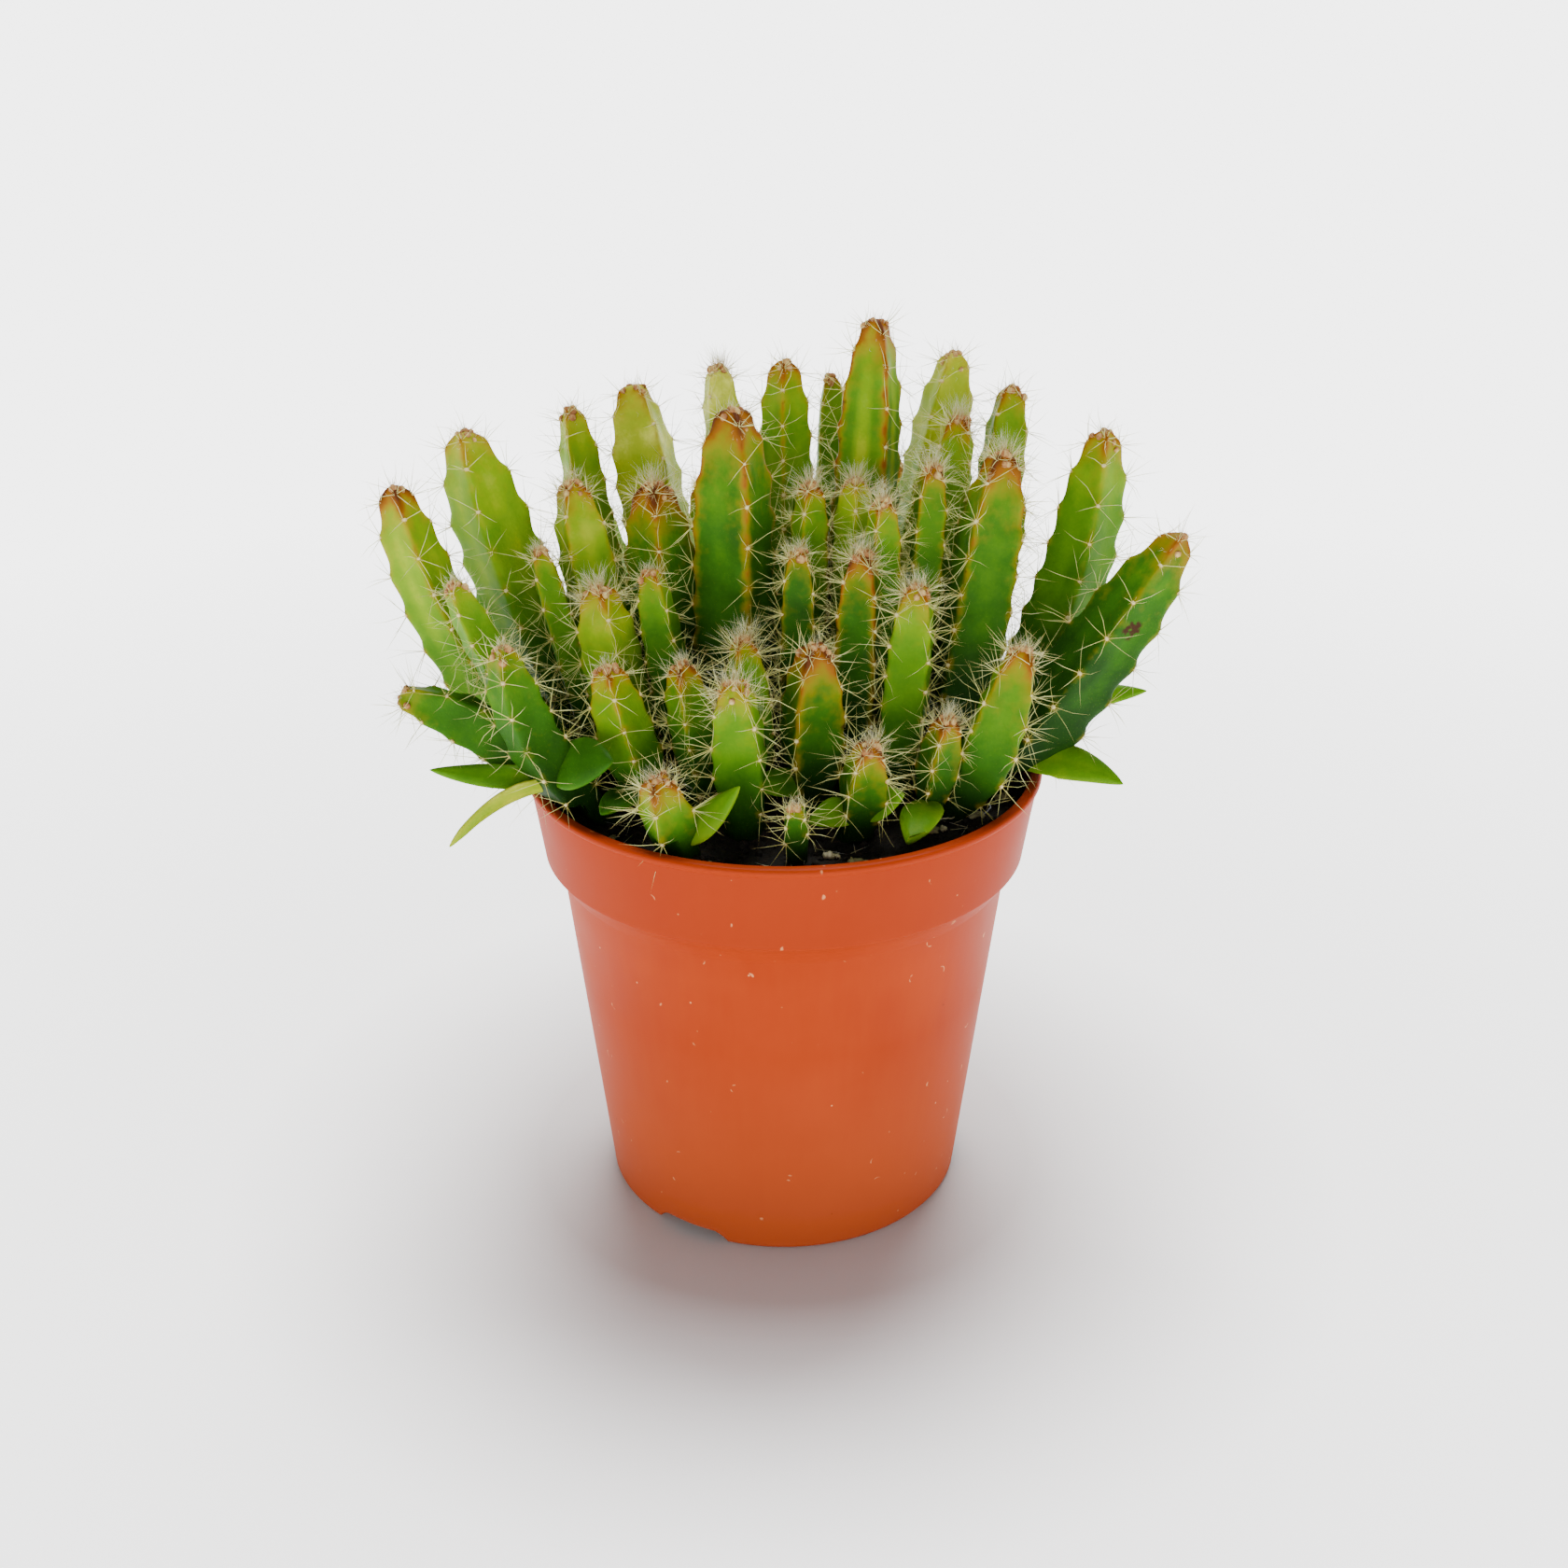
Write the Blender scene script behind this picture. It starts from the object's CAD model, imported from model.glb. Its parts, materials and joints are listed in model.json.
"""A clump of young dragon fruit cacti in a round plastic grower pot, in fine detail.

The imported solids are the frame. A finer skin of the same growth stands for each seedling's solid, and its
spines, wool and seed leaves are pieces of their own. Lengths are in millimetres until a mesh is made, which
is in metres. The origin is at the middle of the pot's base, with +Z up and +Y away from the camera.
"""

import json
import math
import random
from collections import namedtuple

import bmesh
import bpy
import numpy as np
from mathutils import Matrix, Vector, noise
from mathutils.bvhtree import BVHTree

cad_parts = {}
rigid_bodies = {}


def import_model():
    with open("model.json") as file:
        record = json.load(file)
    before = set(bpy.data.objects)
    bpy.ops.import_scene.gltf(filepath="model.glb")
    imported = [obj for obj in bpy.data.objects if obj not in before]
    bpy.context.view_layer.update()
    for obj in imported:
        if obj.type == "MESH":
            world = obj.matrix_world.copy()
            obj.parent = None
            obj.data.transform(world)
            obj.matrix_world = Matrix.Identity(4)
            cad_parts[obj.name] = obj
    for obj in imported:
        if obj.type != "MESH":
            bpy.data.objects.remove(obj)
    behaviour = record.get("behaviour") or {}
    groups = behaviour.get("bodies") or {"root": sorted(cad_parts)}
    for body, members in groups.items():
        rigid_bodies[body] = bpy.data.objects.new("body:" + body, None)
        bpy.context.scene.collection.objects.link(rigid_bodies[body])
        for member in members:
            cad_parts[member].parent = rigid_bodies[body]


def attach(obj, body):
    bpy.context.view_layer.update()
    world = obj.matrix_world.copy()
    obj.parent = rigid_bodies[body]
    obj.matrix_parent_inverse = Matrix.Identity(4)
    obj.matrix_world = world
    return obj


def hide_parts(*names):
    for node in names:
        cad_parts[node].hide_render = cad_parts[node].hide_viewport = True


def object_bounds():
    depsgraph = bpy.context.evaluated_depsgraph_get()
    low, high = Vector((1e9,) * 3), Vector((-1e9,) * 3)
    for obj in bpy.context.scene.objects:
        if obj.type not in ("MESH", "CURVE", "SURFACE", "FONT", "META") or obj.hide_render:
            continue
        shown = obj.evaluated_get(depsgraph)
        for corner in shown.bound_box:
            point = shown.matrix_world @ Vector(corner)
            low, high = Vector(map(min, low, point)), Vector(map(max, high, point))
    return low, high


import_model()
cad_box = [list(corner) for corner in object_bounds()]

METRE = 0.001  # one millimetre
TURN = 2 * math.pi
PHASE = 6.28  # the range of a random phase
THIRD_TURN = 2.094
GAP = 0.3  # left free between neighbouring pieces
SEED = 7

# The pot, in the sizes of its solid
POT_HEIGHT = 76.9
RIM_INNER_RADIUS = 40.6
RIM_RADIUS = 42.5
COLLAR_BOTTOM = 62.2
SHOULDER_BOTTOM = 58.6
WALL_TOP_RADIUS = 37.2
BASE_RADIUS = 30.7
WALL = 1.2
FOOT_HEIGHT = 2.1
FOOT_INNER_RADIUS = 27.0
FOOT_OUTER_RADIUS = 32.0  # no point of the foot is further out
HUB_RADIUS = 12.0
FLOOR_TOP = 3.7
NOTCH_AZIMUTHS = (239, 359, 119)
NOTCH_WIDTH = 15.0
NOTCH_SLOPE = 2.4  # how far its ends slope, along the foot ring
DRAIN_COUNT = 4
DRAIN_RADIUS = 2.2
DRAIN_CIRCLE = 19.5
DRAIN_SIDES = 28
CUTTER_LENGTH = 8
SHARP_ANGLE = 35  # edges sharper than this, in degrees, are drawn sharp
POT_COLUMNS = 180

# The soil
SOIL_HEIGHT = 72.9
SOIL_RELIEF = 0.5
SOIL_RADIUS = 40.0
SOIL_COLUMNS = 200
SOIL_RINGS = 64
CRUMBS = 700
CRUMB_SIZES = (0.35, 1.1)
CRUMB_REACH = 38.6
FIBRES = 90
FIBRE_REACH = 36
FIBRE_LIMIT = 38.8  # their points past this are left out
SPINE_LIMIT = 38.5  # and fallen spines past this
ROOT_REACH = 33.4  # the furthest a stem's middle stands from the middle of the pot

# How a stem grows, as in its solid
WIDENING = 13.0  # length over which a stem grows from its thin foot to its full width
WIDENING_LIMIT = 0.55  # and at most this share of its own length
FOOT_SHARE = 0.68  # the foot's radius, as a share of the stem's, where there is room
LATE_RISE = 0.6  # how much lower a stem's bend is for leaning out sooner
WAVE_DEPTH = 0.07  # how far a rib's edge steps in above each areole
WAVE_PLACE = 0.3  # where it does, as a share of the way to the next areole
GROOVE_SHARE = {3: 0.60, 4: 0.66}  # the middle of a face, as a share of the rib's reach
GROOVE_START = 8.0  # height at which the faces are fully formed
TAPER_START = 0.45  # share of its length at which a stem begins to narrow
CROWN_LENGTH = 1.15  # the rounded top, in stem widths
CROWN_LIMIT = 0.6  # and at most this share of its own length
CROWN_POWER = 0.52  # how full the taper is
CROWN_SHARE = 0.06  # radius of the flat middle of the crown, as a share of the stem's

# How neighbours make room for each other, as in their solids
SETTLE_ROUNDS = 120
SETTLE_SAMPLES = 11
SETTLE_SQUEEZE = 0.80  # stems press together to this share of their reach
SIDE_EASE = 0.45  # they give way more in depth than sideways
HEIGHT_EASE = 0.25
SETTLE_STEP = 0.22
SETTLE_RETURN = 0.01  # pull back to where each would rather stand
RIM_PRESS = 0.85  # a stem leaning over the rim rises this share of its reach above it
RIM_NEAR = 2.0  # the rim is felt from this far inside it
RIM_FAR = 5.0  # to this far outside

# The finer skin
RING_STEP = 0.85
BROAD_STEM = 8.0  # a stem at least this wide has more columns to each rib
BROAD_COLUMNS = 14
SLIM_COLUMNS = 10
RIB_BUNCHING = 1.25  # columns crowd towards the rib's edge
EDGE_ROUNDING = 4.0  # degrees over which a rib's edge is rounded off
ROOT_SHOWN = 3.5  # how deep the skin goes into the soil
SOFTNESS = 0.35  # how gently the skin flattens against a neighbour
MOUND_HEIGHT = 0.26  # of the swelling under each areole
CROWN_MOUND = 1.8  # how many times higher it is at the top
MOUND_REACH = 1.5
YOUNG_MOUNDS = 0.35  # how far down they are higher, in stem widths
UNEVENNESS = 0.009  # of the skin, as a share of its reach
FAR_OFF = 99.0  # further than any areole is from the skin
DIMPLE = 0.5  # depth of the hollow in the middle of the crown
DIMPLE_SHARE = 0.45  # its radius, as a share of the stem's

# Colour
SHADE_HEIGHT = 11.0  # over which the deep green of a stem's foot gives way
CROWN_BROWN = 0.34  # how far down the orange-brown of the crown goes, in stem widths
CROWN_WARMTH = 1.15  # and the ochre below it
STREAK_WIDTH = 0.17  # of the pale line up a face, as a share of the face
SCAR_PAINT = 1.3
MARK_DROP = 1.9  # how far below its areole a dark mark is
MARK_SIZE = 0.85
SCAR = ("seedling_16", (54.3, -10.5, 102.0), 1.9)  # the stem, and the scar's place and radius

# Areoles, the woolly cushions that the spines grow from
HIGHEST_AREOLE = 1.2  # below the tip
LOWEST_AREOLE = 5.0
CROWDING = 0.62  # the topmost pitch of a rib, as a share of the others
TILT = 0.35  # how much an areole faces up the stem
CROWN_TILT = 0.9
CUSHION_RADIUS = 0.42
CUSHION_HEIGHT = 0.34
CUSHION_SIDES = 7
SLIM_CUSHION_SHARE = 0.86
FUZZ = 7
FUZZ_LENGTHS = (0.5, 1.0)
FUZZ_RADIUS = 0.03

# Spines
SPINE_COUNTS = (4, 8)
SPINE_LENGTHS = (4.4, 8.0)
SLIM_SPINE_SHARE = 0.78  # on slim stems they are shorter
SPINE_RISE = (15, 48)  # degrees off the surface
CENTRAL_RISE = (55, 80)
CENTRAL_SHARE = 0.18  # of the spines that stand out in the middle of the areole
YOUNG_SPINES = 0.9  # how far down they are young, in stem widths
YOUNG_LOSS = 0.25  # the share of its length that the youngest lacks
SPINE_RADIUS = 0.06
SLIM_RADIUS_SHARE = 0.85
STRAND_TAPER = 0.6
SPINE_BEND = 0.45
SHORTEST_SPINE = 1.6
FLESH_MARGIN = 0.35  # between a spine's point and the flesh behind it

# Wool and hair on the crowns
HAIRS = (14, 160)
HAIR_LENGTHS = (1.5, 4.2)
HAIR_RADIUS = 0.03
CROWN_SPREAD = 0.42  # how far down the crown the hair grows, in stem widths
TUFTS = (6, 15)  # woolly cushions that crowd on the crown
TUFT_SPREAD = 0.30  # their reach from the tip, in stem widths
BRISTLES = 6  # fine curled hairs at each areole of the woolliest stems
BRISTLE_WOOL = 0.55  # stems less woolly than this have none
BRISTLE_START = 0.55  # and none below this share of a stem's length
BRISTLE_LENGTHS = (3.2, 7.0)
BRISTLE_RADIUS = 0.026
BRISTLE_CURL = 0.75

# Seed leaves
LEAF_RINGS = 22
LEAF_COLUMNS = 24
LEAF_EDGE = 0.75  # thickness of a leaf's narrow ends, as a share of its middle's
MIDRIB_DEPTH = 0.16

Look = namedtuple("Look", "tone lift streak blush crown wool")
Seedling = namedtuple("Seedling", "name root tip width ribs turn rise pitch taper look")
Leaf = namedtuple("Leaf", "seedling height tip bow width thickness roll tone")
Spine = namedtuple("Spine", "line radius tone")

# root: x, y on the soil. tip: x, y and height over the soil. width: over the ribs. turn: the compass angle
# of the first rib, from +X. rise: how early the stem turns up (+) or how late it leans out (-). pitch:
# between areoles along a rib. taper: how much it narrows over its upper half, before its crown.
# Then its look, each from 0 to 1. tone: how pale the green is. lift: how much paler higher up. streak: the
# pale line up each face. blush: of the rib edges. crown: orange-brown at the top. wool: white hair there.
SEEDLING_ROWS = [
    ((-34, 0), (-60.5, -2, 50), 10.8, 4, 290, 0.30, 6.2, 0.28, (0.63, 0.16, 0.10, 0.55, 0.95, 0.15)),
    ((-32, 9), (-51, 8, 56.5), 14.0, 4, 270, 0.12, 6.6, 0.20, (0.61, 0.26, 0.10, 0.30, 0.45, 0.30)),
    ((-27, 19), (-36, 28, 56), 9.2, 4, 250, 0.00, 5.8, 0.30, (0.67, 0.20, 0.10, 0.45, 0.55, 0.30)),
    ((-25, 3), (-34, 6, 49), 10.8, 4, 250, 0.10, 6.2, 0.20, (0.63, 0.20, 0.10, 0.50, 0.70, 0.70)),
    ((-16, 25), (-26, 32, 59), 13.4, 4, 215, 0.00, 5.8, 0.15, (0.82, 0.12, 0.00, 0.40, 0.50, 0.30)),
    ((-18, 8), (-21, 7, 48.5), 12.2, 4, 274, 0.00, 5.4, 0.12, (0.41, 0.18, 0.00, 0.70, 1.00, 1.00)),
    ((-7, 23), (-11, 28, 63), 7.4, 4, 240, 0.00, 6.0, 0.05, (0.85, 0.06, 0.00, 0.20, 0.30, 0.95)),
    ((-8, 5), (-8, 4, 61), 14.2, 4, 200, 0.00, 6.5, 0.15, (0.37, 0.20, 0.06, 0.80, 0.90, 0.40)),
    ((1, 17), (0, 22, 65), 9.8, 4, 265, 0.00, 5.6, 0.25, (0.57, 0.15, 0.05, 0.55, 0.75, 0.30)),
    ((6, 29), (8, 35, 60), 6.6, 3, 240, 0.00, 5.8, 0.25, (0.59, 0.10, 0.00, 0.40, 0.60, 0.20)),
    ((12, 19), (14.8, 20, 72), 13.2, 4, 205, 0.00, 6.2, 0.32, (0.47, 0.26, 0.28, 0.85, 0.85, 0.20)),
    ((15.5, 28), (29.0, 32, 64.5), 12.6, 4, 240, 0.10, 6.0, 0.28, (0.81, 0.08, 0.00, 0.20, 0.30, 0.40)),
    ((24, 16), (28.5, 16, 57), 8.6, 4, 215, 0.00, 5.8, 0.10, (0.59, 0.15, 0.00, 0.40, 0.70, 1.00)),
    ((31, 17), (38, 26, 60), 10.0, 4, 230, 0.05, 6.0, 0.22, (0.57, 0.15, 0.05, 0.40, 0.60, 0.30)),
    ((34.5, 8), (51, 9, 56), 12.2, 4, 268, 0.35, 6.2, 0.30, (0.51, 0.20, 0.05, 0.35, 0.60, 0.30)),
    ((34, -5), (61.5, -6, 43.5), 13.0, 4, 250, 0.05, 6.8, 0.34, (0.31, 0.12, 0.08, 0.40, 0.60, 0.15)),
    ((27, 2), (34.5, 3, 54.5), 12.6, 4, 235, 0.00, 5.9, 0.20, (0.41, 0.18, 0.05, 0.65, 0.95, 1.00)),
    ((26, -15), (36, -19, 30), 11.2, 4, 215, 0.20, 5.0, 0.28, (0.51, 0.20, 0.05, 0.55, 0.75, 0.60)),
    ((22, -19), (25, -21, 19.5), 7.0, 4, 250, 0.00, 4.2, 0.10, (0.43, 0.15, 0.00, 0.60, 1.00, 0.80)),
    ((11, -22), (13, -28, 18), 8.6, 4, 235, 0.00, 4.2, 0.10, (0.47, 0.15, 0.00, 0.50, 0.85, 0.70)),
    ((4, -13), (4.8, -18, 30), 11.2, 4, 243, 0.00, 5.0, 0.15, (0.41, 0.18, 0.00, 0.75, 1.00, 0.40)),
    ((18, -8), (20.4, -11, 37), 9.2, 4, 215, 0.00, 5.0, 0.12, (0.59, 0.22, 0.00, 0.35, 0.60, 0.85)),
    ((11, -4), (12, -6, 41), 9.2, 4, 215, 0.00, 5.4, 0.20, (0.35, 0.14, 0.00, 0.80, 1.00, 0.90)),
    ((21, 5), (23.6, 4, 52), 7.0, 4, 230, 0.00, 5.6, 0.15, (0.45, 0.15, 0.00, 0.60, 0.90, 0.90)),
    ((3, 6), (4.3, 5, 49), 7.0, 4, 250, 0.00, 5.4, 0.15, (0.53, 0.15, 0.00, 0.60, 0.85, 0.90)),
    ((11, 7), (11.4, 7, 49), 7.4, 4, 270, 0.00, 5.4, 0.15, (0.63, 0.20, 0.00, 0.30, 0.50, 0.90)),
    ((16, 1), (15.4, -1, 48), 6.8, 4, 245, 0.00, 5.4, 0.15, (0.49, 0.15, 0.00, 0.60, 0.85, 0.90)),
    ((2, -3), (2.2, -5, 41), 7.4, 4, 225, 0.00, 5.4, 0.15, (0.31, 0.12, 0.00, 0.50, 0.60, 0.60)),
    ((-31.5, -5.5), (-50.5, -13, 38), 7.6, 4, 260, 0.15, 5.2, 0.25, (0.55, 0.24, 0.00, 0.25, 0.40, 0.45)),
    ((-27.5, -16.5), (-42.0, -22, 30.5), 9.6, 4, 265, 0.36, 5.4, 0.25, (0.39, 0.20, 0.00, 0.20, 0.35, 0.45)),
    ((-23, -4), (-29, -8, 36), 10.2, 4, 290, 0.05, 5.4, 0.10, (0.69, 0.18, 0.05, 0.35, 0.60, 0.95)),
    ((-15, -5), (-21, -6, 38), 7.6, 4, 215, 0.00, 5.0, 0.20, (0.47, 0.20, 0.00, 0.35, 0.55, 0.40)),
    ((-20, -14), (-27, -19, 27), 9.0, 4, 280, 0.10, 5.2, 0.15, (0.63, 0.18, 0.00, 0.60, 0.70, 0.50)),
    ((-12, -14), (-15.6, -18, 27), 7.8, 4, 260, 0.00, 4.6, 0.10, (0.53, 0.15, 0.00, 0.50, 0.80, 0.60)),
    ((-6, -21), (-7.6, -26, 27), 10.2, 4, 220, 0.00, 5.2, 0.10, (0.59, 0.26, 0.00, 0.25, 0.45, 0.90)),
    ((-4, -11), (-6.2, -14, 29.5), 8.0, 4, 240, 0.00, 4.8, 0.10, (0.51, 0.20, 0.00, 0.40, 0.60, 0.95)),
    ((-16, -30), (-18.6, -34, 15), 9.2, 4, 255, 0.00, 5.0, 0.05, (0.61, 0.14, 0.05, 0.45, 0.75, 0.60)),
    ((2, -31), (1.7, -35, 11), 4.6, 4, 225, 0.00, 3.2, 0.00, (0.43, 0.14, 0.00, 0.20, 0.30, 0.30)),
    ((-31, -11), (-59.5, -14.5, 19.5), 9.8, 4, 240, 0.00, 5.6, 0.20, (0.41, 0.14, 0.00, 0.20, 0.35, 0.15)),
    ((-29, 3), (-38.4, -1, 40), 6.2, 4, 240, 0.00, 5.0, 0.20, (0.55, 0.14, 0.00, 0.40, 0.60, 0.50)),
    ((-31, 16), (-52, 27, 39), 9.6, 4, 140, 0.15, 5.8, 0.28, (0.49, 0.16, 0.05, 0.35, 0.60, 0.40)),
    ((-20, 30), (-36, 47, 36), 9.0, 4, 120, 0.15, 5.4, 0.22, (0.57, 0.18, 0.10, 0.45, 0.70, 0.30)),
    ((-9, 34), (-15, 54, 36), 9.6, 4, 95, 0.10, 5.8, 0.25, (0.47, 0.14, 0.05, 0.60, 0.80, 0.50)),
    ((2, 35), (3, 52, 27), 7.6, 4, 80, 0.20, 4.8, 0.10, (0.63, 0.18, 0.00, 0.30, 0.40, 0.70)),
    ((14, 32), (21, 54, 40), 10.0, 4, 100, 0.10, 5.8, 0.30, (0.53, 0.14, 0.15, 0.55, 0.70, 0.30)),
    ((26, 24), (42, 44, 36), 9.2, 4, 60, 0.15, 5.4, 0.20, (0.45, 0.16, 0.05, 0.40, 0.60, 0.60)),
    ((33, 13), (55, 25, 36), 8.8, 4, 30, 0.10, 5.4, 0.25, (0.59, 0.18, 0.05, 0.30, 0.45, 0.40)),
]
SEEDLINGS = [
    Seedling(f"seedling_{number:02d}", *row[:-1], Look(*row[-1]))
    for number, row in enumerate(SEEDLING_ROWS, 1)
]

# Seed leaves. height: where the leaf leaves its stem, over the soil. tip: its point, with the height over
# the soil. bow: how far its middle bows up. roll: degrees that the blade is turned about its length.
LEAVES = [
    Leaf("seedling_30", 12.0, (-54.5, -21.0, 10.6), -0.5, 4.2, 1.7, -45, 0.50),
    Leaf("seedling_30", 10.0, (-51, -28.0, 0.8), 3.2, 3.8, 1.7, 60, 0.80),
    Leaf("seedling_30", 14.0, (-25.5, -28.0, 15.0), 0.2, 8.6, 1.9, 50, 0.32),
    Leaf("seedling_33", 5.5, (-27.5, -29.5, 7.0), 0.6, 6.2, 1.7, -5, 0.32),
    Leaf("seedling_37", 3.5, (-6.5, -33, 13.2), -1.0, 5.4, 1.7, 50, 0.60),
    Leaf("seedling_20", 5.0, (3.6, -28, 4.8), 0.8, 4.8, 1.7, -50, 0.56),
    Leaf("seedling_20", 5.0, (18.2, -26.5, 9.0), 0.0, 5.6, 1.7, 45, 0.54),
    Leaf("seedling_19", 4.5, (18.8, -33.0, 3.0), 1.4, 6.4, 1.8, 0, 0.58),
    Leaf("seedling_21", 6.5, (-5.5, -24, 9.6), -0.5, 5.0, 1.7, -45, 0.44),
    Leaf("seedling_16", 6.5, (54.0, -13, 4.6), 1.8, 6.4, 1.8, 42, 0.56),
    Leaf("seedling_15", 10.0, (61, 8, 12.4), 0.8, 5.2, 1.7, 45, 0.58),
    Leaf("seedling_41", 8.0, (-48, 24, 6.5), 2.0, 5.6, 1.8, 15, 0.55),
    Leaf("seedling_45", 6.5, (24, 50, 6.0), 2.0, 5.8, 1.8, 10, 0.50),
    Leaf("seedling_46", 8.0, (46, 34, 7.5), 1.8, 5.4, 1.8, -15, 0.60),
]


def unit(vectors):
    """The vectors, each at a length of 1."""
    return vectors / np.linalg.norm(vectors, axis=-1, keepdims=True)


def level_out(angle):
    """Level directions at these compass angles."""
    return np.stack([np.cos(angle), np.sin(angle), 0 * angle], axis=-1)


def crown_length(width, length):
    """How much of a stem's length its rounded top takes."""
    return min(CROWN_LENGTH * width, CROWN_LIMIT * length)


def bezier(control, share):
    """Points of a curve through three control points, at these shares of it."""
    share = np.asarray(share, float)[:, None]
    return (1 - share) ** 2 * control[0] + 2 * share * (1 - share) * control[1] + share**2 * control[2]


def stem_control(seedling):
    """The stem's foot on the soil, the point it bends round, and its tip."""
    foot = np.array([*seedling.root, SOIL_HEIGHT])
    tip = np.array([*seedling.tip[:2], SOIL_HEIGHT + seedling.tip[2]])
    reach = tip - foot
    outward = 0.5 + seedling.rise
    upward = 0.5 - seedling.rise * LATE_RISE
    middle = foot + reach * np.array([outward, outward, upward])
    return np.array([foot, middle, tip])


def rib_reach(seedling, along, length, foot_radius):
    """Radius over the ribs this far along a stem of this length."""
    along = np.asarray(along, float)
    width = seedling.width
    widening = min(WIDENING, WIDENING_LIMIT * length)
    grown = np.clip(along / widening, 0, 1)
    body = foot_radius + (width / 2 - foot_radius) * grown**2 * (3 - 2 * grown)
    upper = np.clip((along / length - TAPER_START) / (1 - TAPER_START), 0, 1)
    body = body * (1 - seedling.taper * upper**1.4)
    crown = crown_length(width, length)
    into = np.clip((along - (length - crown)) / crown, 0, 1)
    return body * (CROWN_SHARE + (1 - CROWN_SHARE) * (1 - into**2) ** CROWN_POWER)


def foot_radii(feet, widths):
    """How wide each stem is at the soil, in the room that the others' feet leave it."""
    apart = np.linalg.norm(feet[:, None, :2] - feet[None, :, :2], axis=2)
    apart += np.eye(len(feet)) * 1000
    share = widths[:, None] / (widths[:, None] + widths[None, :])
    room = (apart * share).min(axis=1) - 2.5 * GAP
    return np.minimum(FOOT_SHARE * widths / 2, room)


def settled_controls(seedlings):
    """The stems' curves, once each has leant clear of its neighbours."""
    wanted = np.array([stem_control(s) for s in seedlings])
    share = np.linspace(0, 1, SETTLE_SAMPLES)
    weights = np.stack([(1 - share) ** 2, 2 * share * (1 - share), share**2], axis=1)
    lengths = np.linalg.norm(wanted[:, 2] - wanted[:, 0], axis=1)
    reach = SETTLE_SQUEEZE * np.array(
        [rib_reach(s, share * n, n, s.width / 4) for s, n in zip(seedlings, lengths)]
    )
    count = len(seedlings)
    needed = reach.reshape(-1, 1) + reach.reshape(1, -1) + GAP
    owner = np.repeat(np.arange(count), SETTLE_SAMPLES)
    needed[owner[:, None] == owner[None, :]] = 0
    ease = np.array([SIDE_EASE, 1.0, HEIGHT_EASE])
    controls = wanted.copy()
    for _ in range(SETTLE_ROUNDS):
        points = np.einsum("sk,nkd->nsd", weights, controls).reshape(-1, 3)
        apart = points[:, None, :] - points[None, :, :]
        distance = np.linalg.norm(apart, axis=2) + 1e-6
        push = np.clip(needed - distance, 0, None)
        move = (apart / distance[:, :, None] * push[:, :, None]).sum(axis=1) * ease
        radius = np.linalg.norm(points[:, :2], axis=1)
        at_rim = (radius > RIM_INNER_RADIUS - RIM_NEAR) & (radius < RIM_RADIUS + RIM_FAR)
        over_rim = POT_HEIGHT + RIM_PRESS * reach.reshape(-1) / SETTLE_SQUEEZE
        move[:, 2] += np.clip(over_rim - points[:, 2], 0, None) * at_rim
        move = move.reshape(count, SETTLE_SAMPLES, 3)
        controls += SETTLE_STEP * np.einsum("sk,nsd->nkd", weights, move)
        controls += SETTLE_RETURN * (wanted - controls)
        controls[:, 0, 2] = SOIL_HEIGHT
        rooted = np.linalg.norm(controls[:, 0, :2], axis=1)
        controls[:, 0, :2] *= np.minimum(1, ROOT_REACH / rooted)[:, None]
    return controls


def turned_from_up(heading, level):
    """Level directions, turned as +Z is turned to each heading."""
    toward = (heading * level).sum(axis=-1, keepdims=True)
    return level - toward / (1 + heading[..., 2:]) * (np.array([0, 0, 1.0]) + heading)


class Stem:
    """One stem's curve, with the room its neighbours leave it. Takes many places at once."""

    def __init__(self, seedling, control, foot_radius):
        self.seedling = seedling
        self.foot_radius = foot_radius
        self.foot = control[0]
        self.points = bezier(control, np.linspace(0, 1, 41))
        steps = np.linalg.norm(np.diff(self.points, axis=0), axis=1)
        self.lengths = np.concatenate([[0], np.cumsum(steps)])
        self.length = self.lengths[-1]
        self.reach = rib_reach(seedling, self.lengths, self.length, foot_radius)
        self.neighbours = []

    def centre(self, along):
        """The middle of the stem, this far along it."""
        return np.stack([np.interp(along, self.lengths, self.points[:, k]) for k in range(3)], axis=-1)

    def heading(self, along):
        """Which way the stem points there."""
        step = 0.02 * self.length
        ahead = self.centre(np.minimum(along + step, self.length))
        return unit(ahead - self.centre(np.maximum(along - step, 0)))

    def outward(self, along, angle):
        """The directions from the stem's middle to these compass angles on its skin."""
        return turned_from_up(self.heading(along), level_out(angle))

    def radius(self, along):
        """Its reach over the ribs there."""
        crown = crown_length(self.seedling.width, self.length)
        fine = rib_reach(self.seedling, along, self.length, self.foot_radius)
        return np.where(along > self.length - crown, fine, np.interp(along, self.lengths, self.reach))

    def skin(self, along, angle, share):
        """Points of the skin, drawn in where a neighbour or the pot is in the way."""
        centre = self.centre(along)
        radius = self.radius(along)
        point = centre + self.outward(along, angle) * (radius * share)[:, None]
        return clear_of_pot(self.cleared(point, centre, radius))

    def cleared(self, point, centre, radius):
        """The points, eased back from the side where a neighbour takes their room."""
        for other in self.neighbours:
            apart = np.linalg.norm(point[:, None] - other.points[None], axis=2)
            nearest = apart.argmin(axis=1)
            toward = other.points[nearest] - centre
            distance = np.linalg.norm(toward, axis=1)
            toward /= distance[:, None]
            room = distance * radius / (radius + other.reach[nearest]) - 0.5 * GAP
            beyond = ((point - centre) * toward).sum(axis=1) - room
            eased = np.clip(beyond + SOFTNESS, 0, None) ** 2 / (4 * SOFTNESS)
            point = point - toward * np.where(beyond > SOFTNESS, beyond, eased)[:, None]
        return point


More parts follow.
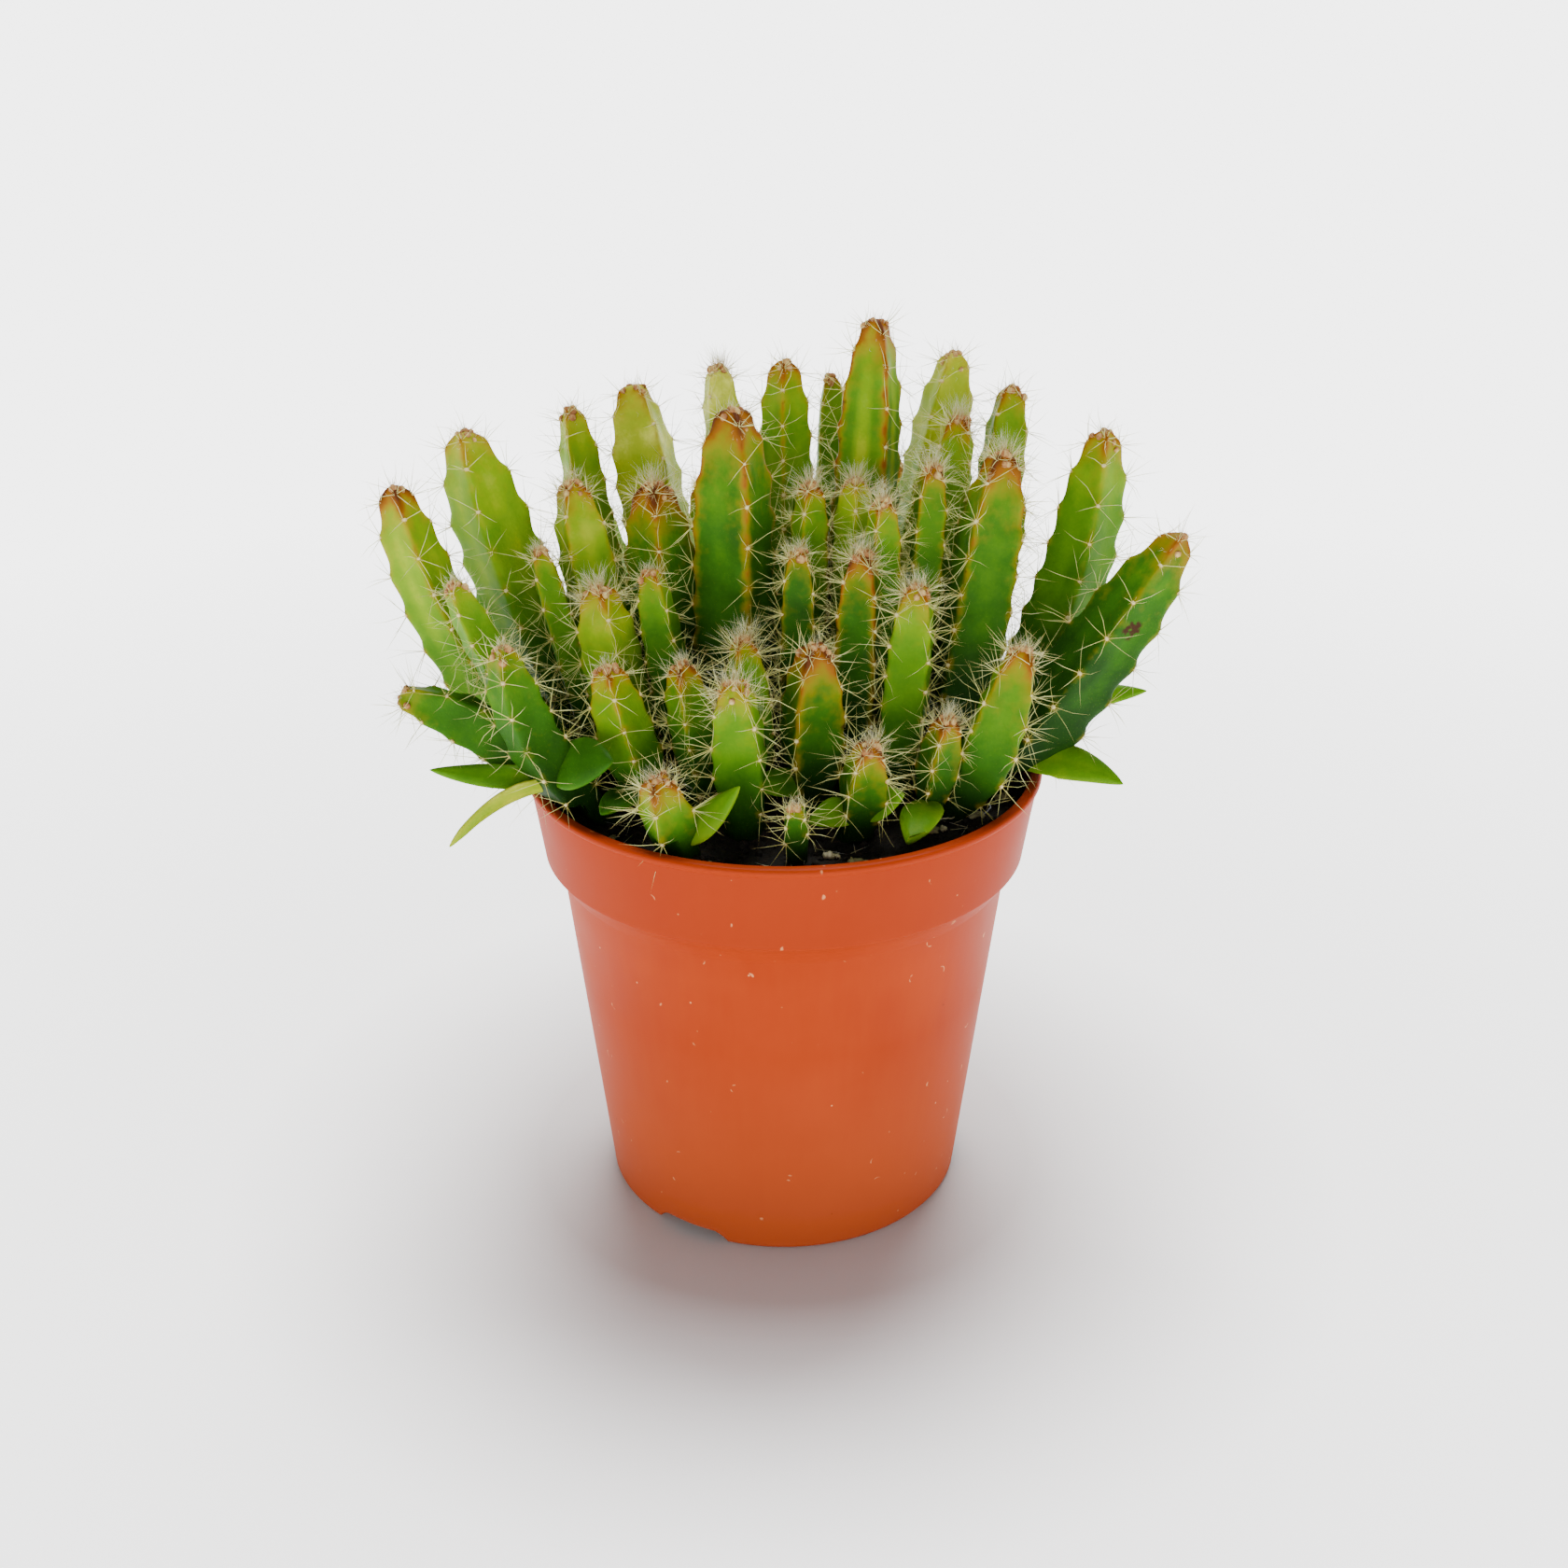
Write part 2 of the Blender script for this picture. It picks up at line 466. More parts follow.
def clear_of_pot(points):
    """The points, lifted over the pot's rim where they pass it."""
    over_rim = POT_HEIGHT + 3 * GAP
    floor = np.interp(
        np.hypot(points[:, 0], points[:, 1]),
        [RIM_INNER_RADIUS - 7, RIM_INNER_RADIUS - 3, RIM_RADIUS + 1.5, RIM_RADIUS + 5],
        [SOIL_HEIGHT - 6, over_rim, over_rim, over_rim - POT_HEIGHT + COLLAR_BOTTOM],
    )
    lifted = points.copy()
    lifted[:, 2] = np.maximum(points[:, 2], floor)
    return lifted


def clear_of_stems(points, stems):
    """A leaf's points, moved off the stems that they would run into."""
    for stem in stems:
        apart = np.linalg.norm(points[:, None] - stem.points[None], axis=2)
        nearest = apart.argmin(axis=1)
        distance = apart[np.arange(len(points)), nearest]
        room = stem.reach[nearest] + 2 * GAP
        away = (points - stem.points[nearest]) / distance[:, None]
        moved = stem.points[nearest] + away * room[:, None]
        points = np.where((distance < room)[:, None], moved, points)
    return points


def areole_places(stem, rib):
    """How far along the stem each areole of this rib is, from the lowest up."""
    pitch = stem.seedling.pitch
    stagger = pitch / 2 if rib % 2 else 0.0
    highest = stem.length - HIGHEST_AREOLE - 0.35 * stagger
    following = highest - CROWDING * pitch - 0.4 * stagger
    return np.array([highest, *np.arange(following, LOWEST_AREOLE, -pitch)][::-1])


def rib_wave(along, places):
    """How far the rib's edge is stepped in at each height, from 0 at an areole to 1 above it."""
    pitch = places[1] - places[0] if len(places) > 1 else 5.0
    marks = np.concatenate([[places[0] - 2 * pitch, places[0] - pitch], places, [places[-1] + pitch]])
    index = np.clip(np.searchsorted(marks, along, side="right") - 1, 0, len(marks) - 2)
    share = np.clip((along - marks[index]) / (marks[index + 1] - marks[index]), 0, 1)
    rising = (1 - np.cos(np.pi * share / WAVE_PLACE)) / 2
    falling = (1 + np.cos(np.pi * (share - WAVE_PLACE) / (1 - WAVE_PLACE))) / 2
    return np.where(share < WAVE_PLACE, rising, falling)


def star_section(count, columns):
    """The angle off the nearest rib, its number, and the skin's share of the reach, at each column."""
    half = math.pi / count
    groove = GROOVE_SHARE[count]
    fine = np.linspace(-half, half, 241)[:-1]
    straight = groove * math.sin(half) / (np.sin(abs(fine)) + groove * np.sin(half - abs(fine)))
    spread = np.exp(-((fine / math.radians(EDGE_ROUNDING)) ** 2) / 2)
    spread = np.fft.fft(np.fft.ifftshift(spread / spread.sum()))
    rounded = np.real(np.fft.ifft(np.fft.fft(straight) * spread))
    place = np.linspace(-1, 1, columns + 1)[:-1]
    angle = half * np.sign(place) * abs(place) ** RIB_BUNCHING
    share = np.interp(angle, fine, rounded / rounded.max())
    angle = np.tile(angle, count)
    rib = np.repeat(np.arange(count), columns)
    return angle, rib, np.tile(share, count)


def ring_places(stem):
    """How far along the stem each ring of its skin is, closer together over the crown."""
    crown = crown_length(stem.seedling.width, stem.length)
    below = stem.length - crown
    shaft = np.linspace(0.8, below, max(3, round(below / RING_STEP)))
    turn = np.linspace(0, math.pi / 2, max(6, round(1.5 * crown / RING_STEP)))[1:]
    return np.concatenate([shaft, below + crown * np.sin(turn)])


def tube_faces(rings, columns):
    """Quads round a closed-sided tube whose rings are numbered from its foot up."""
    ring, column = np.meshgrid(np.arange(rings - 1), np.arange(columns), indexing="ij")
    a = ring * columns + column
    b = ring * columns + (column + 1) % columns
    return np.stack([a, b, b + columns, a + columns], axis=-1).reshape(-1, 4).tolist()


def closed_tube(rings, columns):
    """The same, closed by fans to two more points that follow the rings: its foot, then its top."""
    faces = tube_faces(rings, columns)
    foot, last = rings * columns, (rings - 1) * columns
    for k in range(columns):
        following = (k + 1) % columns
        faces.append([following, k, foot])
        faces.append([last + k, last + following, foot + 1])
    return faces


def grow_skin(stem, look, rng):
    """The stem's skin as points, faces and painted values, and its areoles as (place, outward, height)."""
    seedling = stem.seedling
    per_rib = BROAD_COLUMNS if seedling.width >= BROAD_STEM else SLIM_COLUMNS
    offset, rib, share = star_section(seedling.ribs, per_rib)
    columns = len(offset)
    angle = math.radians(seedling.turn) + rib * TURN / seedling.ribs + offset
    places = [areole_places(stem, k) for k in range(seedling.ribs)]
    rings = ring_places(stem)
    groove = share.min()
    close = (share - groove) / (1 - groove)
    depth = np.clip(rings / GROOVE_START, 0, 1)[:, None]
    wave = np.stack([rib_wave(rings, places[k]) for k in range(seedling.ribs)])[rib].T
    form = (1 - (1 - share) * depth) * (1 - WAVE_DEPTH * wave * close**1.2 * depth)
    phase = [rng.uniform(0, PHASE) for _ in range(4)]
    uneven = np.sin(rings[:, None] * 0.31 + 2 * angle + phase[0]) + np.sin(
        rings[:, None] * 0.83 - angle + phase[1]
    )
    form *= 1 + UNEVENNESS * uneven
    along, turned = np.repeat(rings, columns), np.tile(angle, len(rings))
    skin = stem.skin(along, turned, form.reshape(-1))
    hollow = np.clip(1 - stem.radius(rings) / (DIMPLE_SHARE * seedling.width / 2), 0, 1) ** 2
    sunk_by = DIMPLE * np.where(rings > stem.length / 2, hollow, 0)
    skin -= np.repeat(sunk_by, columns)[:, None] * stem.heading(along)
    level = level_out(angle) * stem.foot_radius
    sunk = stem.foot + level - np.array([0, 0, ROOT_SHOWN])
    points = np.concatenate([sunk, stem.foot + level, skin])
    end = skin[-columns:].mean(axis=0) - 0.05 * stem.heading(np.array([stem.length]))[0]
    points = np.vstack([points, stem.foot - np.array([0, 0, ROOT_SHOWN]), end])
    areoles = []
    for k in range(seedling.ribs):
        compass = math.radians(seedling.turn) + k * TURN / seedling.ribs
        spots = stem.skin(places[k], np.full(len(places[k]), compass), np.ones(len(places[k])))
        tilt = np.where(places[k] > stem.length - seedling.width / 2, CROWN_TILT, TILT)[:, None]
        out = stem.outward(places[k], np.full(len(places[k]), compass)) + tilt * stem.heading(places[k])
        areoles += list(zip(spots, unit(out), places[k]))
    near = np.full(len(points), FAR_OFF)
    mark = np.zeros(len(points))
    for spot, out, place in areoles:
        reach = np.linalg.norm(points - spot, axis=1)
        near = np.minimum(near, reach)
        young = math.exp(-(stem.length - place) / (YOUNG_MOUNDS * seedling.width))
        height = MOUND_HEIGHT * (1 + (CROWN_MOUND - 1) * young) * min(1, seedling.width / 10)
        points += out * (height * np.exp(-((reach / MOUND_REACH) ** 2)))[:, None]
        below = spot - MARK_DROP * stem.heading(np.array([place]))[0]
        streak = np.exp(-((np.linalg.norm(points - below, axis=1) / MARK_SIZE) ** 2))
        mark = np.maximum(mark, streak * rng.uniform(0.2, 1.0))
    paint = paint_skin(stem, look, rings, close, wave, near, phase)
    paint["mark"] = mark * look.blush
    if seedling.name == SCAR[0]:
        scar = np.linalg.norm(points - np.array(SCAR[1]), axis=1)
        paint["mark"] = np.maximum(paint["mark"], SCAR_PAINT * np.exp(-((scar / SCAR[2]) ** 4)))
    return points, closed_tube(len(rings) + 2, columns), paint, areoles


def paint_skin(stem, look, rings, close, wave, near, phase):
    """How pale and how blushed each point of the skin is."""
    columns = len(close)
    up = (rings / stem.length)[:, None]
    from_tip = (stem.length - rings)[:, None]
    face = np.exp(-((close / STREAK_WIDTH) ** 2))
    low = np.exp(-rings / SHADE_HEIGHT)[:, None]
    tone = look.tone + look.lift * (up**1.6 - 0.3) - 0.25 * (1 - up) ** 2 - 0.30 * low
    drift = np.sin(rings * 0.21 + phase[2])[:, None] * 0.03 + np.sin(rings * 0.6 + phase[3])[:, None] * 0.02
    band = np.sin(np.pi * np.clip((up - 0.30) / 0.68, 0, 1))
    tone = tone + drift + look.streak * face * band + 0.05 * close * up - 0.04 * wave * close
    patchy = 0.75 + 0.25 * np.sin(rings * 1.7 + phase[0])[:, None] * np.sin(rings * 0.53 + phase[1])[:, None]
    edge = 1.25 * look.blush * close ** (5.5 - 3.2 * look.blush) * up ** (2.6 - 1.7 * look.blush) * patchy
    width = stem.seedling.width
    crown = look.crown * np.exp(-((from_tip / (CROWN_BROWN * width)) ** 2)) * (0.55 + 0.45 * close)
    warmth = look.crown * (0.16 + 0.22 * close) * np.exp(-((from_tip / (CROWN_WARMTH * width)) ** 2))
    blush = np.maximum(edge, crown + warmth)
    foot = np.zeros((2, columns))
    ends = np.zeros(2)
    tone = np.concatenate([(foot + tone[0]).reshape(-1), tone.reshape(-1), ends + tone[-1].mean()])
    blush = np.concatenate([foot.reshape(-1), blush.reshape(-1), [0, look.crown]])
    blush = np.maximum(blush, (0.12 + 0.55 * look.blush) * np.exp(-((near / 0.9) ** 2)))
    return {"tone": tone, "blush": blush}


def grow_leaf(leaf, stem):
    """A fleshy seed leaf as points, faces and painted values. Its base is inside the stem."""
    base = stem.centre(np.array([leaf.height]))[0]
    tip = np.array([*leaf.tip[:2], SOIL_HEIGHT + leaf.tip[2]])
    control = np.array([base, (base + tip) / 2 + np.array([0, 0, leaf.bow * 2]), tip])
    across = Vector(tip - base).cross(Vector((0, 0, 1))).normalized()
    across = np.array(Matrix.Rotation(math.radians(leaf.roll), 3, Vector(tip - base).normalized()) @ across)
    share = np.sin(np.linspace(0.06, math.pi / 2, LEAF_RINGS))[:-1]
    centre = bezier(control, share)
    along = bezier(control, share + 0.01) - bezier(control, share - 0.01)
    up = unit(np.cross(across, unit(along)))
    blade = np.sin(math.pi * share**0.8) ** 0.75
    width = np.hypot(0.3 * (1 - share), blade)
    turn = np.linspace(0, TURN, LEAF_COLUMNS, endpoint=False)
    side = np.cos(turn)
    thick = np.sin(turn) * (0.78 + 0.22 * abs(np.sin(turn)))
    thick -= MIDRIB_DEPTH * np.exp(-((side / 0.22) ** 2)) * (np.sin(turn) > 0)
    half = leaf.width / 2 * width[:, None, None] * side[None, :, None] * across
    depth = leaf.thickness / 2 * (LEAF_EDGE + (1 - LEAF_EDGE) * width) * np.minimum(1, (1 - share) * 9) ** 0.5
    points = centre[:, None] + half + depth[:, None, None] * thick[None, :, None] * up[:, None]
    points = np.vstack([points.reshape(-1, 3), base, tip])
    points = clear_of_pot(clear_of_stems(points, stem.neighbours))
    edge = (abs(side) ** 6)[None, :] * np.ones(len(share))[:, None]
    vein = np.exp(-((side / 0.16) ** 2))[None, :] * (1 - share)[:, None]
    pale = leaf.tone + 0.10 * edge + 0.08 * vein + 0.10 * (1 - share)[:, None] ** 3
    tones = np.concatenate([pale.reshape(-1), [leaf.tone] * 2])
    blush = np.concatenate([(0.12 * edge * share[:, None] ** 6).reshape(-1), [0, 0.1]])
    paint = {"tone": tones, "blush": blush, "mark": 0 * tones}
    return points, closed_tube(len(share), LEAF_COLUMNS), paint


class Flesh:
    """The skins of everything, for a spine to stay out of."""

    def __init__(self):
        self.points, self.faces = [], []
        self.tree = None

    def add(self, points, faces):
        first = len(self.points)
        self.points += [Vector(p) for p in points]
        self.faces += [[first + k for k in face] for face in faces]

    def close(self):
        self.tree = BVHTree.FromPolygons(self.points, self.faces)

    def free_length(self, start, aim, length):
        """How far a spine can reach from here before flesh, up to its length."""
        hit = self.tree.ray_cast(Vector(start + aim * 0.5), Vector(aim), length + FLESH_MARGIN)
        if hit[0] is None:
            return length
        return hit[3] + 0.5 - FLESH_MARGIN


def spread_around(out, turn):
    """A direction across the surface at this angle round its outward direction."""
    side = Vector(out).orthogonal().normalized()
    return np.array(Matrix.Rotation(turn, 3, Vector(out)) @ side)


def random_side(out, rng):
    """A direction across the surface at a random angle."""
    return spread_around(out, rng.uniform(0, TURN))


def held_in(start, end, limits):
    """The spine's end, drawn back along it until it is within the object's box."""
    for axis in range(3):
        for limit, sign in ((limits[0][axis], -1), (limits[1][axis], 1)):
            over = sign * (end[axis] - limit)
            if over > 0:
                run = sign * (end[axis] - start[axis])
                end = start + (end - start) * max(0.1, 1 - over / run)
    return end


def spine_end(start, aim, length, flesh, limits):
    """Where a spine ends, short of flesh and inside the object's box, or None if that is too short."""
    reach = min(flesh.free_length(start, aim, length), length)
    return None if reach < SHORTEST_SPINE else held_in(start, start + aim * reach, limits)


def grow_spines(stem, look, areoles, flesh, limits, rng):
    """The spines, cushions as (place, out, size) and fuzz as (start, end) of a stem's areoles."""
    slim = stem.seedling.width < BROAD_STEM
    spines, cushions, fuzz = [], [], []
    for place, out, height in areoles:
        from_tip = stem.length - height
        young = math.exp(-from_tip / (YOUNG_SPINES * stem.seedling.width))
        size = (SLIM_CUSHION_SHARE if slim else 1.0) * rng.uniform(0.85, 1.1)
        cushions.append((place, out, size))
        count = rng.randint(*SPINE_COUNTS)
        first = rng.uniform(0, TURN)
        for k in range(count):
            is_central = rng.random() < CENTRAL_SHARE
            rise = math.radians(rng.uniform(*(CENTRAL_RISE if is_central else SPINE_RISE)))
            turn = first + (k + rng.uniform(-0.3, 0.3)) * TURN / count
            across = spread_around(out, turn)
            aim = across * math.cos(rise) + out * math.sin(rise)
            length = rng.uniform(*SPINE_LENGTHS) * (SLIM_SPINE_SHARE if slim else 1)
            length *= 1 - YOUNG_LOSS * young
            start = place + out * (0.12 * size) + across * (0.22 * size)
            end = spine_end(start, aim, length, flesh, limits)
            if end is None:
                continue
            bend = random_side(aim, rng) * rng.uniform(0.0, SPINE_BEND)
            radius = SPINE_RADIUS * (SLIM_RADIUS_SHARE if slim else 1.0) * rng.uniform(0.85, 1.1)
            spines.append(Spine([start, (start + end) / 2 + bend, end], radius, 0.5 * young * look.crown))
        for _ in range(FUZZ):
            across = random_side(out, rng)
            start = place + out * 0.1 + across * rng.uniform(0.1, 0.5) * size
            aim = across * rng.uniform(0.3, 1.0) + out * rng.uniform(0.3, 1.0)
            end = start + aim * rng.uniform(*FUZZ_LENGTHS)
            fuzz.append((start, end))
    return spines, cushions, fuzz


def crown_points(stem, skin, spread):
    """A stem's tip, its heading there, and its skin's points within this many widths of the tip."""
    tip = stem.points[-1]
    heading = stem.heading(np.array([stem.length]))[0]
    near = skin[np.linalg.norm(skin - tip, axis=1) < spread * stem.seedling.width]
    return tip, heading, near


def grow_hair(stem, look, skin, limits, rng):
    """Fine hair over the top of a stem, from points of its skin."""
    tip, heading, near = crown_points(stem, skin, CROWN_SPREAD)
    hairs = []
    for _ in range(round(HAIRS[0] + (HAIRS[1] - HAIRS[0]) * look.wool)):
        root = near[rng.randrange(len(near))]
        away = unit(root - tip + heading * 2.5)
        aim = unit(away + random_side(away, rng) * rng.uniform(0, 0.9))
        length = rng.uniform(*HAIR_LENGTHS) * (0.45 + 0.75 * look.wool**2)
        bend = random_side(aim, rng) * rng.uniform(0.1, 0.6)
        end = held_in(root, root + aim * length, limits)
        middle = (root + end) / 2 + bend * np.linalg.norm(end - root) / length
        hairs.append([root - away * 0.1, middle, end])
    return hairs


def grow_tufts(stem, look, skin, rng):
    """Small woolly cushions that crowd on the crown, each as (place, outward, size)."""
    tip, heading, near = crown_points(stem, skin, TUFT_SPREAD)
    tufts = []
    for _ in range(round(TUFTS[0] + (TUFTS[1] - TUFTS[0]) * look.wool)):
        place = near[rng.randrange(len(near))]
        out = unit(place - tip + heading * 2.0)
        tufts.append((place - 0.1 * heading, out, rng.uniform(1.0, 1.8)))
    return tufts


def grow_bristles(stem, look, areoles, flesh, limits, rng):
    """Fine curled hairs round the areoles of a woolly stem, each as points along it."""
    strands = []
    if look.wool < BRISTLE_WOOL:
        return strands
    for place, out, height in areoles:
        if height < BRISTLE_START * stem.length:
            continue
        for _ in range(round(BRISTLES * look.wool * rng.uniform(0.6, 1.1))):
            across = random_side(out, rng)
            rise = rng.uniform(0.35, 1.3)
            aim = across * math.cos(rise) + out * math.sin(rise)
            length = rng.uniform(*BRISTLE_LENGTHS)
            start = place + across * 0.15
            end = spine_end(start, aim, length, flesh, limits)
            if end is None:
                continue
            side = random_side(aim, rng)
            other = np.cross(aim, side)
            phase = rng.uniform(0, TURN)
            curl = BRISTLE_CURL * rng.uniform(0.2, 1.0)
            strand = []
            for share in (0, 0.25, 0.5, 0.75, 1):
                turn = phase + 4.5 * share
                sway = side * math.cos(turn) + other * math.sin(turn)
                strand.append(start + (end - start) * share + sway * curl * share * (1.15 - share))
            strands.append(strand)
    return strands


class Bundle:
    """Many small closed forms gathered into one mesh, with a painted value at each point."""

    def __init__(self):
        self.points, self.faces, self.values = [], [], []

    def add(self, points, faces, values):
        first = len(self.points)
        self.points += [tuple(p) for p in points]
        self.faces += [[first + k for k in face] for face in faces]
        self.values += list(values)

    def strand(self, line, radius, tone=0.0):
        """A needle of three sides along these points, tapering to the last. Painted from its tone to 1."""
        along = unit(line[-1] - line[0])
        side = spread_around(along, 0.0)
        other = np.cross(along, side)
        corners = [side * math.cos(k * THIRD_TURN) + other * math.sin(k * THIRD_TURN) for k in range(3)]
        last = len(line) - 1
        points, values = [], []
        for number, place in enumerate(line[:-1]):
            share = number / last
            points += [place + corner * radius * (1 - STRAND_TAPER * share) for corner in corners]
            values += [tone + (1 - tone) * share] * 3
        points.append(line[-1])
        faces = [[2, 1, 0], *tube_faces(last, 3)]
        faces += [[3 * last - 3 + k, 3 * last - 3 + (k + 1) % 3, 3 * last] for k in range(3)]
        self.add(points, faces, [*values, 1.0])

    def cushion(self, place, out, size, rng, shade=1.0):
        """A small uneven dome, sunk a little into the skin. Less shade is browner."""
        points = []
        for radius, height in ((1.0, -0.25), (0.92, 0.30), (0.5, 0.82)):
            for k in range(CUSHION_SIDES):
                across = spread_around(out, k * TURN / CUSHION_SIDES)
                reach = radius * CUSHION_RADIUS * size * rng.uniform(0.85, 1.12)
                rise = height * CUSHION_HEIGHT * size * rng.uniform(0.85, 1.15)
                points.append(place + across * reach + out * rise)
        points.append(place - out * 0.3 * CUSHION_HEIGHT * size)
        points.append(place + out * CUSHION_HEIGHT * size)
        values = np.concatenate([np.repeat([0.2, 0.5, 0.9], CUSHION_SIDES), [0.0, 1.0]])
        self.add(points, closed_tube(3, CUSHION_SIDES), shade * values)

    def tube(self, points, radius, value, sides):
        """A thin round tube along these points, tapering a little to its ends."""
        points = np.asarray(points, float)
        along = unit(np.gradient(points, axis=0))
        made, faces = [], tube_faces(len(points), sides)
        for k, (place, aim) in enumerate(zip(points, along)):
            end = min(k, len(points) - 1 - k)
            girth = radius * (0.55 if end == 0 else 1.0)
            side = unit(np.cross(aim, [0.31, 0.22, 0.93]))
            other = np.cross(aim, side)
            for s in range(sides):
                turn = TURN * s / sides
                made.append(place + girth * (side * math.cos(turn) + other * math.sin(turn)))
        last = len(made) - sides
        faces.append(list(range(sides))[::-1])
        faces.append([last + s for s in range(sides)])
        self.add(made, faces, [value] * len(made))


def mesh_piece(name, points, faces, values, material, replaced=(), is_smooth=True):
    """A piece of the object from millimetres, in metres, with painted values at its points."""
    mesh = bpy.data.meshes.new(name)
    mesh.from_pydata((np.asarray(points, float) * METRE).tolist(), [], faces)
    for key, painted in values.items():
        layer = mesh.attributes.new(key, "FLOAT", "POINT")
        layer.data.foreach_set("value", np.asarray(painted, np.float32))
    mesh.polygons.foreach_set("use_smooth", [is_smooth] * len(mesh.polygons))
    mesh.materials.append(material)
    mesh.update()
    piece = bpy.data.objects.new(name, mesh)
    bpy.context.scene.collection.objects.link(piece)
    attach(piece, "root")
    if replaced:
        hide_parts(*replaced)
    return piece


def bundle_piece(name, bundle, material, is_smooth=True):
    values = {"tone": bundle.values}
    mesh_piece(name, bundle.points, bundle.faces, values, material, is_smooth=is_smooth)


def wall_radius(height):
    """Outer radius of the pot's tapering wall."""
    return BASE_RADIUS + (WALL_TOP_RADIUS - BASE_RADIUS) * height / SHOULDER_BOTTOM


def arc(centre, radius, start, end, steps):
    """Points of a profile's rounded corner, from one angle to another in degrees."""
    turns = np.radians(np.linspace(start, end, steps))
    return [(centre[0] + radius * math.cos(t), centre[1] + radius * math.sin(t)) for t in turns]


def pot_profile():
    """The pot's section as (radius, height), from the middle of its floor over the rim to its underside."""
    inner_top = RIM_INNER_RADIUS - 1.4
    inner_wall = WALL_TOP_RADIUS - WALL
    floor_edge = wall_radius(FLOOR_TOP) - WALL
    lip = RIM_RADIUS - 0.62
    return [
        (DRAIN_CIRCLE * 0.5, FLOOR_TOP),
        (DRAIN_CIRCLE + 5, FLOOR_TOP),
        *arc((floor_edge - 1.2, FLOOR_TOP + 1.2), 1.2, -90, 0, 5),
        (inner_wall, SHOULDER_BOTTOM - 0.4),
        (inner_wall + 0.3, SHOULDER_BOTTOM + 0.6),
        (inner_top - 0.4, COLLAR_BOTTOM + 0.1),
        (inner_top, COLLAR_BOTTOM + 1.2),
        (inner_top + 0.6, 69.0),
        (RIM_INNER_RADIUS - 0.12, POT_HEIGHT - 1.6),
        (RIM_INNER_RADIUS, POT_HEIGHT - 0.5),
        *arc((RIM_INNER_RADIUS + 0.35, POT_HEIGHT - 0.35), 0.35, 170, 90, 4),
        *arc((lip, POT_HEIGHT - 0.62), 0.62, 90, -55, 8),
        (RIM_RADIUS - 0.62, POT_HEIGHT - 1.45),
        (RIM_RADIUS - 0.66, POT_HEIGHT - 2.2),
        (41.15, 70.4),
        (40.08, COLLAR_BOTTOM + 0.7),
        *arc((39.55, COLLAR_BOTTOM + 0.45), 0.5, 0, -70, 5),
        (38.6, 60.5),
        (37.75, 59.25),
        (WALL_TOP_RADIUS, SHOULDER_BOTTOM - 0.2),
        (wall_radius(40), 40),
        (wall_radius(20), 20),
        (wall_radius(6), 6),
        (wall_radius(2.4), 2.4),
        *arc((wall_radius(1.2) - 1.1, 1.1), 1.1, 8, -80, 6),
        (BASE_RADIUS - 1.6, 0),
        (FOOT_INNER_RADIUS + 0.4, 0),
        (FOOT_INNER_RADIUS, 0.4),
        (FOOT_INNER_RADIUS - 0.4, FOOT_HEIGHT - 0.3),
        (FOOT_INNER_RADIUS - 0.8, FOOT_HEIGHT),
        (DRAIN_CIRCLE, FOOT_HEIGHT),
        (HUB_RADIUS + 0.8, FOOT_HEIGHT),
        (HUB_RADIUS + 0.3, FOOT_HEIGHT - 0.4),
        (HUB_RADIUS, 0.3),
        (HUB_RADIUS - 0.4, 0),
        (HUB_RADIUS * 0.5, 0),
    ]


def notch_rise(compass):
    """How far the foot ring is raised at this compass angle, by the nearest drain notch."""
    rise = 0.0
    for azimuth in NOTCH_AZIMUTHS:
        off = (compass - azimuth + 180) % 360 - 180
        aside = abs(math.radians(off)) * BASE_RADIUS
        into = (NOTCH_WIDTH / 2 - aside) / NOTCH_SLOPE
        eased = min(max(into, 0), 1)
        rise = max(rise, eased * eased * (3 - 2 * eased))
    return rise * FOOT_HEIGHT


def circle(radius, columns):
    """Points round the pot's axis, as (x, y)."""
    turns = [TURN * k / columns for k in range(columns)]
    return [(radius * math.cos(turn), radius * math.sin(turn)) for turn in turns]


